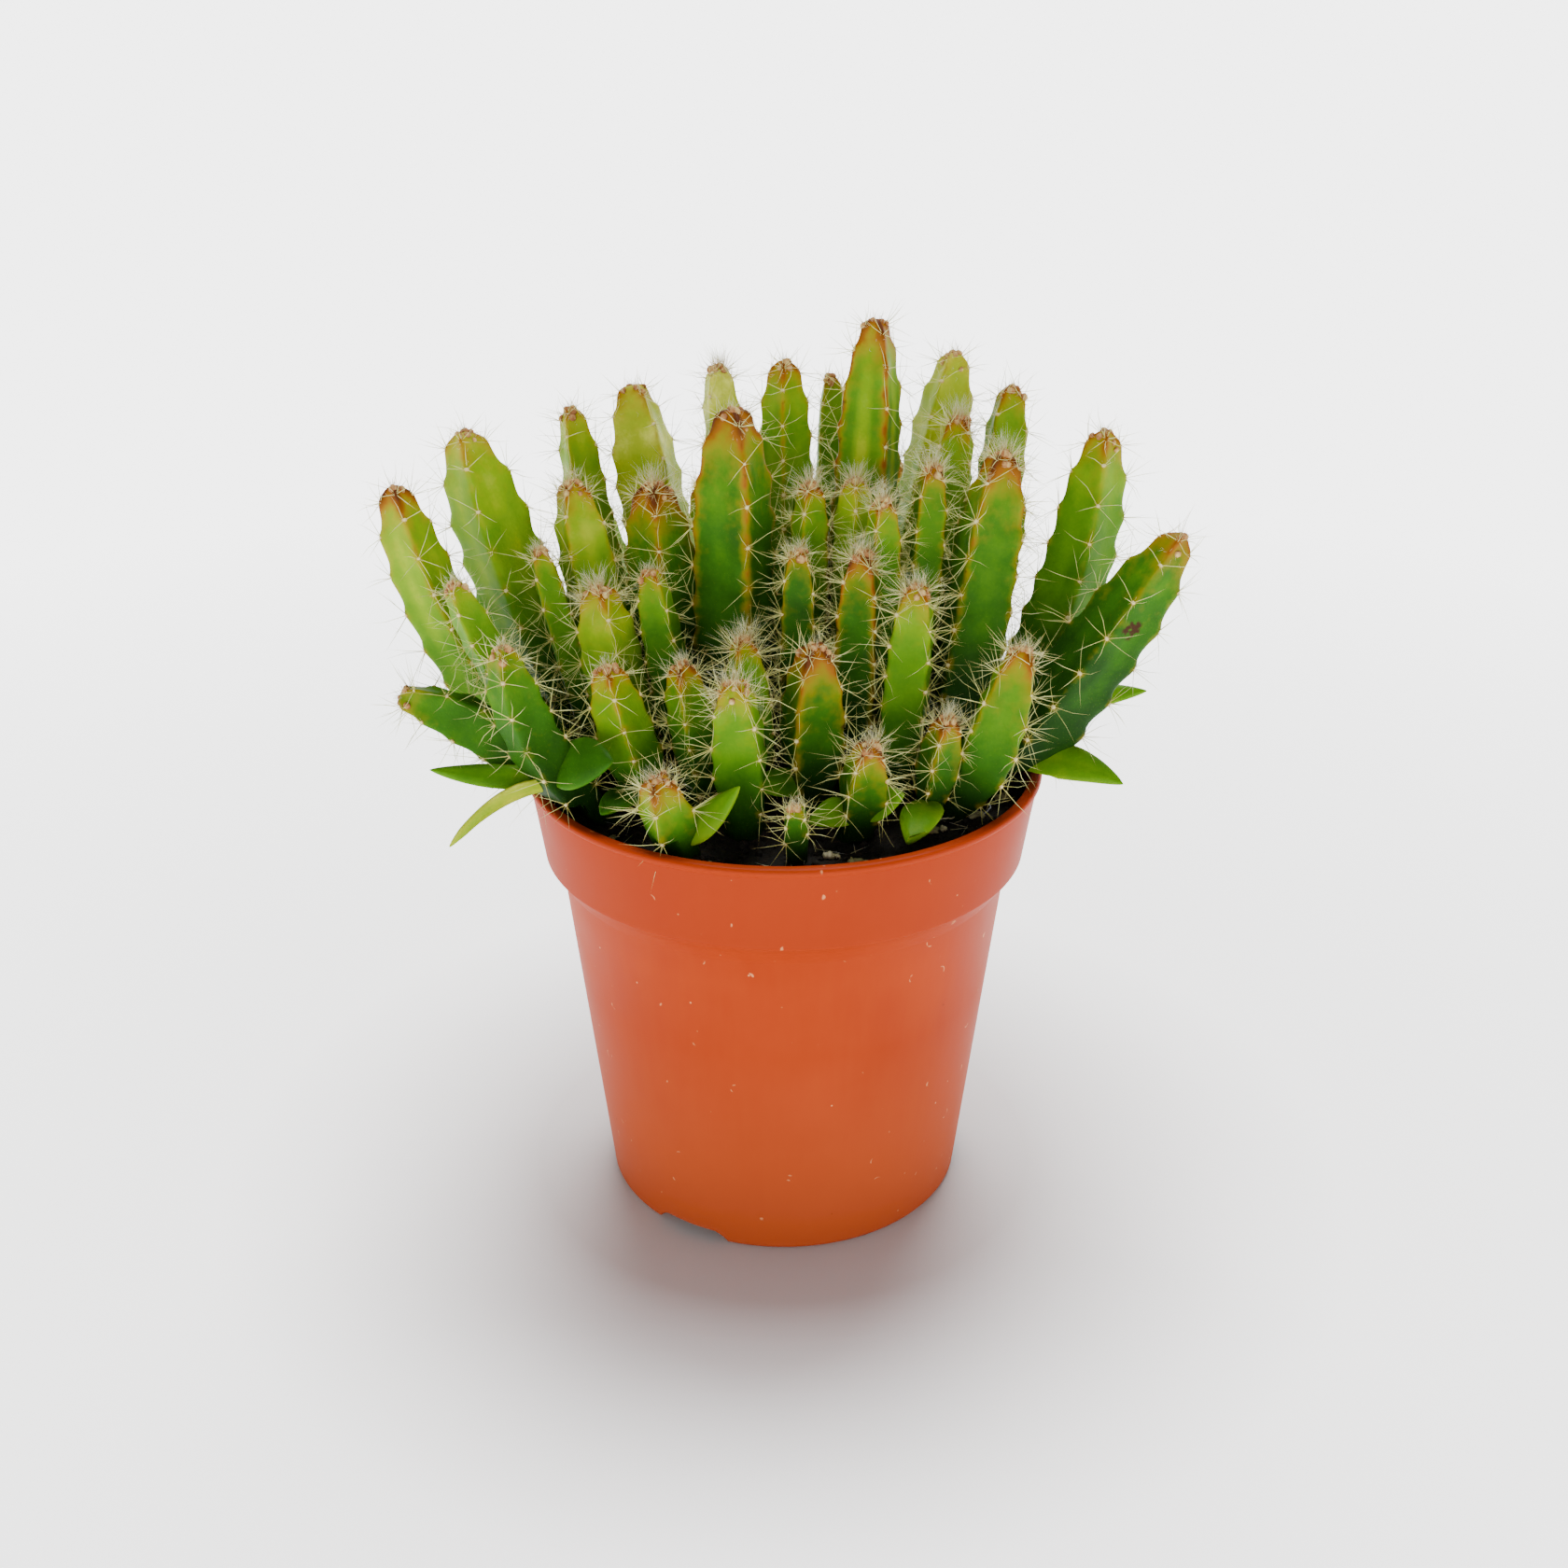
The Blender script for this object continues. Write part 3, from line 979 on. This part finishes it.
def make_pot(material):
    """The pot's shell, turned from its profile, with drain notches round its foot and drain holes."""
    profile = pot_profile()
    points = []
    for radius, height in profile:
        is_foot = FOOT_INNER_RADIUS - 1 < radius < FOOT_OUTER_RADIUS
        for k, (x, y) in enumerate(circle(radius, POT_COLUMNS)):
            rise = notch_rise(360 * k / POT_COLUMNS) if is_foot else 0
            points.append((x, y, max(height, rise)))
    points += [(0, 0, profile[0][1]), (0, 0, profile[-1][1])]
    faces = [face[::-1] for face in closed_tube(len(profile), POT_COLUMNS)]
    pot = mesh_piece("pot_shell", points, faces, {}, material, ["pot"])
    cutters = bpy.data.collections.new("drain_cutters")
    bpy.context.scene.collection.children.link(cutters)
    for number in range(DRAIN_COUNT):
        angle = TURN * (number + 0.5) / DRAIN_COUNT
        centre = (DRAIN_CIRCLE * math.cos(angle), DRAIN_CIRCLE * math.sin(angle), FOOT_HEIGHT + 1)
        bm = bmesh.new()
        ends = {"radius1": DRAIN_RADIUS, "radius2": DRAIN_RADIUS, "depth": CUTTER_LENGTH}
        bmesh.ops.create_cone(bm, cap_ends=True, segments=DRAIN_SIDES, **ends)
        bmesh.ops.translate(bm, verts=bm.verts, vec=centre)
        bm.transform(Matrix.Scale(METRE, 4))
        mesh = bpy.data.meshes.new(f"drain_cutter_{number}")
        bm.to_mesh(mesh)
        bm.free()
        cutters.objects.link(bpy.data.objects.new(mesh.name, mesh))
    cut = pot.modifiers.new("drains", "BOOLEAN")
    cut.operation = "DIFFERENCE"
    cut.operand_type = "COLLECTION"
    cut.collection = cutters
    cut.solver = "EXACT"
    graph = bpy.context.evaluated_depsgraph_get()
    mesh = bpy.data.meshes.new_from_object(pot.evaluated_get(graph))
    pot.modifiers.clear()
    pot.data = mesh
    for cutter in list(cutters.objects):
        bpy.data.objects.remove(cutter)
    bpy.data.collections.remove(cutters)
    pot.data.shade_smooth()
    pot.data.set_sharp_from_angle(angle=math.radians(SHARP_ANGLE))


def soil_top(x, y):
    """Height of the soil's gently uneven surface."""
    waves = math.sin(0.31 * x + 1.1) + math.sin(0.27 * y - 0.19 * x) + math.cos(0.36 * y + 0.8)
    return SOIL_HEIGHT + SOIL_RELIEF * waves / 3


def lumpy_top(x, y):
    """The soil's surface with its lumps."""
    coarse = noise.noise(Vector((x * 0.42, y * 0.42, 3.1)))
    fine = noise.noise(Vector((x * 1.25, y * 1.25, 8.7)))
    return soil_top(x, y) + 0.55 * abs(coarse) + 0.32 * fine


def make_soil(material):
    """The filling of the pot, with a crumbly surface."""
    below = [
        (wall_radius(FLOOR_TOP) - WALL - 1.8, FLOOR_TOP + 0.1),
        (wall_radius(FLOOR_TOP) - WALL - 0.5, FLOOR_TOP + 1.6),
        (WALL_TOP_RADIUS - WALL - 0.4, SHOULDER_BOTTOM + 0.4),
        (RIM_INNER_RADIUS - 1.9, COLLAR_BOTTOM + 1.2),
    ]
    radii = SOIL_RADIUS * np.linspace(1, 0, SOIL_RINGS + 1)[:-1] ** 0.8
    points = [(x, y, height) for radius, height in below for x, y in circle(radius, SOIL_COLUMNS)]
    points += [(x, y, lumpy_top(x, y)) for radius in radii for x, y in circle(radius, SOIL_COLUMNS)]
    points += [(0, 0, below[0][1]), (0, 0, lumpy_top(0, 0))]
    faces = closed_tube(len(below) + len(radii), SOIL_COLUMNS)
    mesh_piece("soil_surface", points, faces, {}, material, ["soil"])


def lump(bundle, centre, sizes, value, rng, divisions=1):
    """An uneven rounded lump."""
    bm = bmesh.new()
    bmesh.ops.create_icosphere(bm, subdivisions=divisions, radius=1)
    shift = Vector((rng.uniform(0, 50), rng.uniform(0, 50), rng.uniform(0, 50)))
    spin = Matrix.Rotation(rng.uniform(0, PHASE), 3, "Z") @ Matrix.Rotation(rng.uniform(0, PHASE), 3, "X")
    points = []
    for vertex in bm.verts:
        bulge = 1 + 0.7 * noise.noise(vertex.co * 1.6 + shift)
        points.append(spin @ Vector([c * s * bulge for c, s in zip(vertex.co, sizes)]) + Vector(centre))
    faces = [[v.index for v in face.verts] for face in bm.faces]
    bm.free()
    bundle.add(points, faces, [value] * len(points))


def curl(place, radius, turns, rise, wander, rng, count=26):
    """Points of a loose curl that lies on the soil."""
    start = rng.uniform(0, PHASE)
    points = []
    for k in range(count):
        share = k / (count - 1)
        turn = start + turns * TURN * share
        reach = radius * (1 - 0.35 * share) + wander * math.sin(7 * share + start)
        x, y = place[0] + reach * math.cos(turn), place[1] + reach * math.sin(turn)
        points.append((x, y, lumpy_top(x, y) + 0.15 + rise * math.sin(math.pi * share)))
    return points


# x, y, spread and number of fallen spines
LITTER_SPINES = [
    (-34.0, 15.0, 2.5, 7),
    (-22, -19.5, 3.5, 9),
    (7, -30, 4, 6),
    (27, -20, 4, 6),
    (0, -36, 2.5, 4),
    (20, 30, 6, 8),
]
# x, y, size and paleness of husks
LITTER_HUSKS = [
    (34.6, -7.5, 1.2, 0.5),
    (7.2, -29.5, 0.9, 0.8),
    (-12, -33.5, 0.7, 0.6),
    (-30, 20, 0.8, 0.6),
    (11.5, -31.5, 1.0, 0.7),
    (30.5, -16, 0.9, 0.6),
    (24, -22, 0.8, 0.7),
    (-3, -35.5, 0.6, 0.6),
    (-27, -24, 0.7, 0.5),
]
# x, y, radius, turns, thickness and paleness of curled straws
LITTER_CURLS = [
    (25.4, -17.0, 2.0, 0.9, 0.12, 0.7),
    (31.4, -13.3, 1.6, 0.5, 0.10, 1.0),
    (-8, 34, 2.2, 0.7, 0.12, 0.6),
]


def scattered(rng, reach):
    """A random place on the soil, within this reach of its middle."""
    radius = reach * math.sqrt(rng.random())
    turn = rng.uniform(0, TURN)
    return radius * math.cos(turn), radius * math.sin(turn)


def make_litter(peat, dry):
    """Crumbs and fibres of the peat, and the dry spines and husks that lie on it."""
    rng = random.Random(SEED)
    crumbs = Bundle()
    for _ in range(CRUMBS):
        x, y = scattered(rng, CRUMB_REACH)
        size = rng.uniform(*CRUMB_SIZES) * rng.uniform(0.6, 1.0)
        sizes = [size * rng.uniform(0.6, 1.3) for _ in range(3)]
        lump(crumbs, (x, y, lumpy_top(x, y) + 0.2 * size), sizes, rng.uniform(0, 1), rng)
    for _ in range(FIBRES):
        place = scattered(rng, FIBRE_REACH)
        points = curl(place, rng.uniform(1.0, 3.0), rng.uniform(0.1, 0.5), rng.uniform(0, 0.7), 0.3, rng, 9)
        points = [p for p in points if math.hypot(p[0], p[1]) < FIBRE_LIMIT]
        if len(points) > 3:
            crumbs.tube(points, rng.uniform(0.05, 0.12), rng.uniform(0.4, 1.0), 4)
    bundle_piece("peat_crumbs", crumbs, peat)
    litter = Bundle()
    for x, y, spread, count in LITTER_SPINES:
        for _ in range(count):
            ax, ay = x + rng.uniform(-spread, spread), y + rng.uniform(-spread, spread)
            turn = rng.uniform(0, TURN)
            length = rng.uniform(3.0, 5.5)
            bx, by = ax + length * math.cos(turn), ay + length * math.sin(turn)
            if max(math.hypot(ax, ay), math.hypot(bx, by)) > SPINE_LIMIT:
                continue
            start = np.array([ax, ay, lumpy_top(ax, ay) + 0.2])
            end = np.array([bx, by, lumpy_top(bx, by) + rng.uniform(0.2, 1.0)])
            litter.strand([start, (start + end) / 2, end], 0.07, 0.6)
    for x, y, size, value in LITTER_HUSKS:
        for _ in range(4):
            ax, ay = x + rng.uniform(-1.2, 1.2), y + rng.uniform(-0.8, 0.8)
            sizes = (size * rng.uniform(0.6, 1.2), size * 0.6, size * rng.uniform(0.3, 0.6))
            lump(litter, (ax, ay, lumpy_top(ax, ay) + 0.3), sizes, value * rng.uniform(0.7, 1.0), rng, 2)
    for x, y, radius, turns, girth, value in LITTER_CURLS:
        litter.tube(curl((x, y), radius, turns, 0.8, 0.25, rng), girth, value, 5)
    bundle_piece("soil_litter", litter, dry)


class Tree:
    """A material's node tree, built node by node."""

    def __init__(self, name, **constants):
        self.material = bpy.data.materials.new(name)
        self.material.use_nodes = True
        self.nodes = self.material.node_tree.nodes
        self.links = self.material.node_tree.links
        self.shader = self.nodes["Principled BSDF"]
        for socket, value in constants.items():
            self.shader.inputs[socket.replace("_", " ")].default_value = value

    def node(self, kind, inputs, **settings):
        made = self.nodes.new(kind)
        for key, value in settings.items():
            setattr(made, key, value)
        for key, value in inputs.items():
            if isinstance(value, bpy.types.NodeSocket):
                self.links.new(value, made.inputs[key])
            else:
                made.inputs[key].default_value = value
        return made

    def painted(self, name):
        return self.node("ShaderNodeAttribute", {}, attribute_name=name).outputs["Fac"]

    def place(self, stretch=(1, 1, 1)):
        where = self.node("ShaderNodeTexCoord", {}).outputs["Object"]
        return self.node("ShaderNodeMapping", {"Vector": where, "Scale": stretch}).outputs["Vector"]

    def noise(self, size, detail=2.0, stretch=(1, 1, 1), twist=0.0):
        """Noise whose lumps are about this many millimetres across."""
        inputs = {"Vector": self.place(stretch), "Scale": 1 / (size * METRE)}
        inputs |= {"Detail": detail, "Distortion": twist}
        return self.node("ShaderNodeTexNoise", inputs).outputs["Fac"]

    def cells(self, size):
        """Distance from the nearest of scattered points about this many millimetres apart."""
        inputs = {"Vector": self.place(), "Scale": 1 / (size * METRE)}
        return self.node("ShaderNodeTexVoronoi", inputs).outputs["Distance"]

    def math(self, operation, a, b=0.0, is_clamped=False):
        made = self.node("ShaderNodeMath", {0: a, 1: b}, operation=operation, use_clamp=is_clamped)
        return made.outputs[0]

    def uneven(self, name, size, weight, less, detail=2.0):
        """A painted value with noise of this weight added, less so much, held from 0 to 1."""
        grain = self.math("MULTIPLY", self.noise(size, detail), weight)
        return self.math("SUBTRACT", self.math("ADD", self.painted(name), grain), less, True)

    def scaled(self, value, low, high, start=0.0, end=1.0):
        """The value's run from low to high, as start to end."""
        inputs = {"Value": value, "From Min": low, "From Max": high, "To Min": start, "To Max": end}
        return self.node("ShaderNodeMapRange", inputs).outputs["Result"]

    def ramp(self, factor, stops):
        made = self.node("ShaderNodeValToRGB", {"Fac": factor})
        elements = made.color_ramp.elements
        while len(elements) < len(stops):
            elements.new(0.5)
        for element, (position, colour) in zip(elements, stops):
            element.position = position
            element.color = (*colour, 1)
        return made.outputs["Color"]

    def mix(self, factor, a, b):
        a, b = [(*colour, 1) if isinstance(colour, tuple) else colour for colour in (a, b)]
        return self.node("ShaderNodeMix", {0: factor, 6: a, 7: b}, data_type="RGBA").outputs[2]

    def bump(self, height, distance, strength):
        """Raises the surface by up to this many millimetres."""
        inputs = {"Height": height, "Distance": distance * METRE, "Strength": strength}
        self.links.new(self.node("ShaderNodeBump", inputs).outputs["Normal"], self.shader.inputs["Normal"])

    def paint(self, colour, roughness=None):
        self.links.new(colour, self.shader.inputs["Base Color"])
        if roughness is not None:
            self.links.new(roughness, self.shader.inputs["Roughness"])
        return self.material


GREENS = (
    (0.00, (0.004, 0.018, 0.002)),
    (0.20, (0.010, 0.045, 0.003)),
    (0.40, (0.026, 0.108, 0.003)),
    (0.58, (0.075, 0.196, 0.002)),
    (0.74, (0.165, 0.290, 0.002)),
    (0.88, (0.330, 0.400, 0.010)),
    (1.00, (0.720, 0.730, 0.110)),
)
BLUSHES = (
    (0.00, (0.240, 0.250, 0.003)),
    (0.30, (0.330, 0.200, 0.004)),
    (0.60, (0.240, 0.085, 0.004)),
    (1.00, (0.085, 0.022, 0.005)),
)
STRAWS = (
    (0.00, (0.50, 0.36, 0.06)),
    (0.35, (0.52, 0.50, 0.13)),
    (0.75, (0.62, 0.64, 0.26)),
    (1.00, (0.54, 0.44, 0.14)),
)
WOOLS = (
    (0.00, (0.13, 0.04, 0.015)),
    (0.40, (0.30, 0.13, 0.05)),
    (0.75, (0.50, 0.34, 0.12)),
    (1.00, (0.66, 0.58, 0.28)),
)
HAIR_TONES = (
    (0.00, (0.24, 0.10, 0.03)),
    (0.25, (0.42, 0.27, 0.12)),
    (0.50, (0.50, 0.48, 0.24)),
    (1.00, (0.72, 0.75, 0.56)),
)
HUSK_TONES = (
    (0.30, (0.10, 0.075, 0.03)),
    (0.65, (0.32, 0.30, 0.13)),
    (0.85, (0.55, 0.50, 0.32)),
    (1.00, (0.62, 0.64, 0.62)),
)


def flesh_material(name, roughness):
    tree = Tree(
        name,
        Specular_IOR_Level=0.05,
        Subsurface_Weight=0.10,
        Subsurface_Radius=(1.0, 0.9, 0.2),
        Subsurface_Scale=0.0014,
    )
    mottle = tree.math("SUBTRACT", tree.noise(4.5, 3.0), 0.5)
    fine = tree.math("SUBTRACT", tree.noise(0.55, 2.0), 0.5)
    tone = tree.math("ADD", tree.painted("tone"), tree.math("MULTIPLY", mottle, 0.26))
    tone = tree.math("ADD", tone, tree.math("MULTIPLY", fine, 0.08), True)
    green = tree.ramp(tone, GREENS)
    pores = tree.scaled(tree.cells(0.42), 0.05, 0.22, 0.12, 0.0)
    green = tree.mix(pores, green, (0.30, 0.37, 0.04))
    blush = tree.uneven("blush", 1.6, 0.40, 0.20, 3.0)
    skin = tree.mix(tree.scaled(blush, 0.08, 0.62), green, tree.ramp(blush, BLUSHES))
    mark = tree.math("MULTIPLY", tree.painted("mark"), tree.scaled(tree.noise(0.9, 2.0), 0.35, 0.6))
    skin = tree.mix(tree.scaled(mark, 0.25, 0.65), skin, (0.035, 0.013, 0.004))
    tree.bump(tree.math("ADD", tree.noise(0.5, 3.0), tree.cells(0.42)), 0.06, 0.35)
    return tree.paint(skin, tree.scaled(tree.noise(2.2, 2.0), 0.3, 0.7, roughness - 0.06, roughness + 0.10))


def spine_material():
    tree = Tree("spine_straw", Roughness=0.5, Specular_IOR_Level=0.3)
    tone = tree.uneven("tone", 1.2, 0.25, 0.0)
    return tree.paint(tree.ramp(tone, STRAWS), tree.scaled(tree.noise(0.8), 0.3, 0.7, 0.42, 0.58))


def toned_material(name, stops, size, weight, less, **constants):
    """A material with its colour along a ramp, by its uneven painted tone."""
    tree = Tree(name, **constants)
    return tree.paint(tree.ramp(tree.uneven("tone", size, weight, less), stops))


def wool_material():
    return toned_material("areole_wool", WOOLS, 0.5, 0.7, 0.1, Roughness=0.95, Specular_IOR_Level=0.1)


def hair_material():
    return toned_material("crown_hair", HAIR_TONES, 0.8, 0.3, 0.15, Roughness=0.7, Specular_IOR_Level=0.2)


def pot_material():
    tree = Tree(
        "pot_plastic",
        Specular_IOR_Level=0.04,
        Sheen_Weight=0.03,
        Sheen_Roughness=0.35,
        Sheen_Tint=(1.0, 0.35, 0.12, 1.0),
    )
    cloud = tree.noise(22.0, 3.0)
    body = tree.mix(tree.scaled(cloud, 0.3, 0.7), (0.320, 0.031, 0.004), (0.370, 0.041, 0.006))
    drawn = tree.noise(2.2, 2.0, (1, 1, 0.12))
    body = tree.mix(tree.scaled(drawn, 0.35, 0.75, 0.0, 0.12), body, (0.42, 0.062, 0.008))
    height = tree.node("ShaderNodeSeparateXYZ", {0: tree.place()}).outputs["Z"]
    body = tree.mix(tree.scaled(height, 0.0, 0.040, 0.85, 0.0), body, (0.455, 0.077, 0.021))
    body = tree.mix(tree.scaled(height, 0.054, 0.064, 0.0, 0.6), body, (0.280, 0.024, 0.003))
    cell = tree.cells(5.2)
    hoop = tree.math("ABSOLUTE", tree.math("SUBTRACT", cell, 0.17))
    gate = tree.scaled(tree.noise(1.7, 1.0), 0.60, 0.66)
    scratch = tree.math("MULTIPLY", tree.scaled(hoop, 0.010, 0.024, 1.0, 0.0), gate)
    fleck = tree.scaled(tree.cells(3.4), 0.03, 0.06, 1.0, 0.0)
    fleck = tree.math("MULTIPLY", fleck, tree.scaled(tree.noise(9.0), 0.54, 0.62))
    worn = tree.math("MAXIMUM", tree.math("MULTIPLY", scratch, 0.45), tree.math("MULTIPLY", fleck, 0.7))
    body = tree.mix(worn, body, (0.86, 0.42, 0.18))
    speck = tree.scaled(tree.cells(6.3), 0.02, 0.045, 1.0, 0.0)
    speck = tree.math("MULTIPLY", speck, tree.scaled(tree.noise(13.0), 0.52, 0.6))
    body = tree.mix(speck, body, (0.05, 0.014, 0.006))
    tree.bump(tree.math("ADD", tree.noise(0.7, 2.0), tree.math("MULTIPLY", drawn, 0.5)), 0.03, 0.25)
    return tree.paint(body, tree.scaled(cloud, 0.3, 0.7, 0.40, 0.52))


def peat_material():
    tree = Tree("peat", Specular_IOR_Level=0.25)
    crumb = tree.noise(1.1, 5.0, twist=0.6)
    stops = ((0.3, (0.004, 0.0035, 0.003)), (0.55, (0.013, 0.010, 0.007)), (0.8, (0.045, 0.030, 0.017)))
    tree.bump(tree.noise(0.6, 5.0), 0.35, 0.8)
    return tree.paint(tree.ramp(crumb, stops), tree.scaled(crumb, 0.3, 0.7, 0.75, 0.98))


def dry_material():
    return toned_material("dry_litter", HUSK_TONES, 0.7, 0.3, 0.1, Roughness=0.7)


def make_seedlings():
    controls = settled_controls(SEEDLINGS)
    feet = foot_radii(controls[:, 0], np.array([seedling.width for seedling in SEEDLINGS]))
    stems = [Stem(*grown) for grown in zip(SEEDLINGS, controls, feet)]
    for stem in stems:
        for other in stems:
            apart = np.linalg.norm(stem.points[:, None] - other.points[None], axis=2)
            room = (stem.reach[:, None] + other.reach[None]).max() + 2
            if other is not stem and apart.min() < room:
                stem.neighbours.append(other)
    skin_material = flesh_material("cactus_skin", 0.46)
    leaf_material = flesh_material("seed_leaf", 0.42)
    straw, wool, hair = spine_material(), wool_material(), hair_material()
    limits = [[side / METRE for side in corner] for corner in cad_box]
    flesh = Flesh()
    grown = []
    by_name = {}
    for number, stem in enumerate(stems):
        name = stem.seedling.name
        by_name[name] = stem
        rng = random.Random(SEED * 100 + number)
        points, faces, paint, areoles = grow_skin(stem, stem.seedling.look, rng)
        flesh.add(points, faces)
        mesh_piece(f"{name}_stem", points, faces, paint, skin_material, [name])
        grown.append((stem, points, areoles, rng))
    for number, leaf in enumerate(LEAVES, 1):
        points, faces, paint = grow_leaf(leaf, by_name[leaf.seedling])
        flesh.add(points, faces)
        title = f"{leaf.seedling}_leaf_{number:02d}"
        mesh_piece(title, points, faces, paint, leaf_material)
    flesh.close()
    for stem, skin, areoles, rng in grown:
        look = stem.seedling.look
        spines, cushions, fuzz = grow_spines(stem, look, areoles, flesh, limits, rng)
        needles, pads, down = Bundle(), Bundle(), Bundle()
        for spine in spines:
            needles.strand(spine.line, spine.radius, spine.tone)
        for place, out, size in cushions:
            pads.cushion(place, out, size, rng)
        for start, end in fuzz:
            pads.strand([start, end], FUZZ_RADIUS, 0.6)
        for place, out, size in grow_tufts(stem, look, skin, rng):
            pads.cushion(place, out, size, rng, rng.uniform(0.15, 0.6))
        for hair_line in grow_hair(stem, look, skin, limits, rng):
            down.strand(hair_line, HAIR_RADIUS, 0.1)
        for hair_line in grow_bristles(stem, look, areoles, flesh, limits, rng):
            needles.strand(hair_line, BRISTLE_RADIUS, 0.35)
        bundle_piece(f"{stem.seedling.name}_spines", needles, straw, False)
        bundle_piece(f"{stem.seedling.name}_areoles", pads, wool)
        bundle_piece(f"{stem.seedling.name}_hair", down, hair, False)


# The camera, fitted to the pot's rim, collar and base in the photograph, in metres and degrees
CAMERA_PLACE = (0, -0.2743, 0.1941)
CAMERA_TILT = 65.96
CAMERA_LENS = 41.28
SENSOR = 36.0
HORIZON_LIGHT = 3.2
OVERHEAD_LIGHT = 0.2
HORIZON_DEPTH = 0.44  # how far up, of 1, the horizon's light gives way
# The floor, in metres from the pot's middle: its tone is darker and it glows less near the pot
FLOOR_REACH = 40.0
TONE_RANGE = (0.030, 0.085)
NEAR_TONE = (0.64, 0.64, 0.64)
FAR_TONE = (0.95, 0.95, 0.95)
NEAR_GLOW = (0.044, 0.10, 0.0, 1.3)
FAR_GLOW = (0.09, 0.45, 0.0, 1.5)


def soft_sun(name, compass, height, strength, spread):
    """A wide soft light from this compass angle and height, in degrees."""
    lamp = bpy.data.lights.new(name, "SUN")
    lamp.energy = strength
    lamp.angle = math.radians(spread)
    held = bpy.data.objects.new(name, lamp)
    held.rotation_euler = (0, math.radians(90 - height), math.radians(compass))
    bpy.context.scene.collection.objects.link(held)


def make_studio():
    lens = bpy.data.cameras.new("camera")
    lens.lens = CAMERA_LENS
    lens.sensor_width = SENSOR
    camera = bpy.data.objects.new("camera", lens)
    camera.location = CAMERA_PLACE
    camera.rotation_euler = (math.radians(CAMERA_TILT), 0, 0)
    bpy.context.scene.collection.objects.link(camera)
    bpy.context.scene.camera = camera
    soft_sun("sky", 84, 60, 5.4, 36)
    soft_sun("front", -100, 12, 0.8, 46)
    world = bpy.data.worlds.new("studio")
    world.use_nodes = True
    nodes, links = world.node_tree.nodes, world.node_tree.links
    height = nodes.new("ShaderNodeSeparateXYZ")
    links.new(nodes.new("ShaderNodeTexCoord").outputs["Generated"], height.inputs["Vector"])
    glow = nodes.new("ShaderNodeMapRange")
    glow.interpolation_type = "SMOOTHSTEP"
    run = {"From Min": 0.0, "From Max": HORIZON_DEPTH, "To Min": HORIZON_LIGHT, "To Max": OVERHEAD_LIGHT}
    for socket, value in run.items():
        glow.inputs[socket].default_value = value
    links.new(height.outputs["Z"], glow.inputs["Value"])
    links.new(glow.outputs["Result"], nodes["Background"].inputs["Strength"])
    nodes["Background"].inputs["Color"].default_value = (1, 1, 1, 1)
    bpy.context.scene.world = world
    mesh = bpy.data.meshes.new("floor")
    far = FLOOR_REACH
    mesh.from_pydata([(-far, -far, 0), (far, -far, 0), (far, far, 0), (-far, far, 0)], [], [(0, 1, 2, 3)])
    floor = bpy.data.objects.new("floor", mesh)
    bpy.context.scene.collection.objects.link(floor)
    white = Tree("floor_white", Roughness=0.9, Specular_IOR_Level=0.2)
    white.shader.inputs["Emission Color"].default_value = (1, 1, 1, 1)
    away = white.node("ShaderNodeVectorMath", {0: white.place()}, operation="LENGTH").outputs["Value"]
    glow = white.math("ADD", white.scaled(away, *NEAR_GLOW), white.scaled(away, *FAR_GLOW))
    white.links.new(glow, white.shader.inputs["Emission Strength"])
    tone = white.mix(white.scaled(away, *TONE_RANGE), NEAR_TONE, FAR_TONE)
    mesh.materials.append(white.paint(tone))


make_studio()
make_pot(pot_material())
peat = peat_material()
make_soil(peat)
make_litter(peat, dry_material())
make_seedlings()
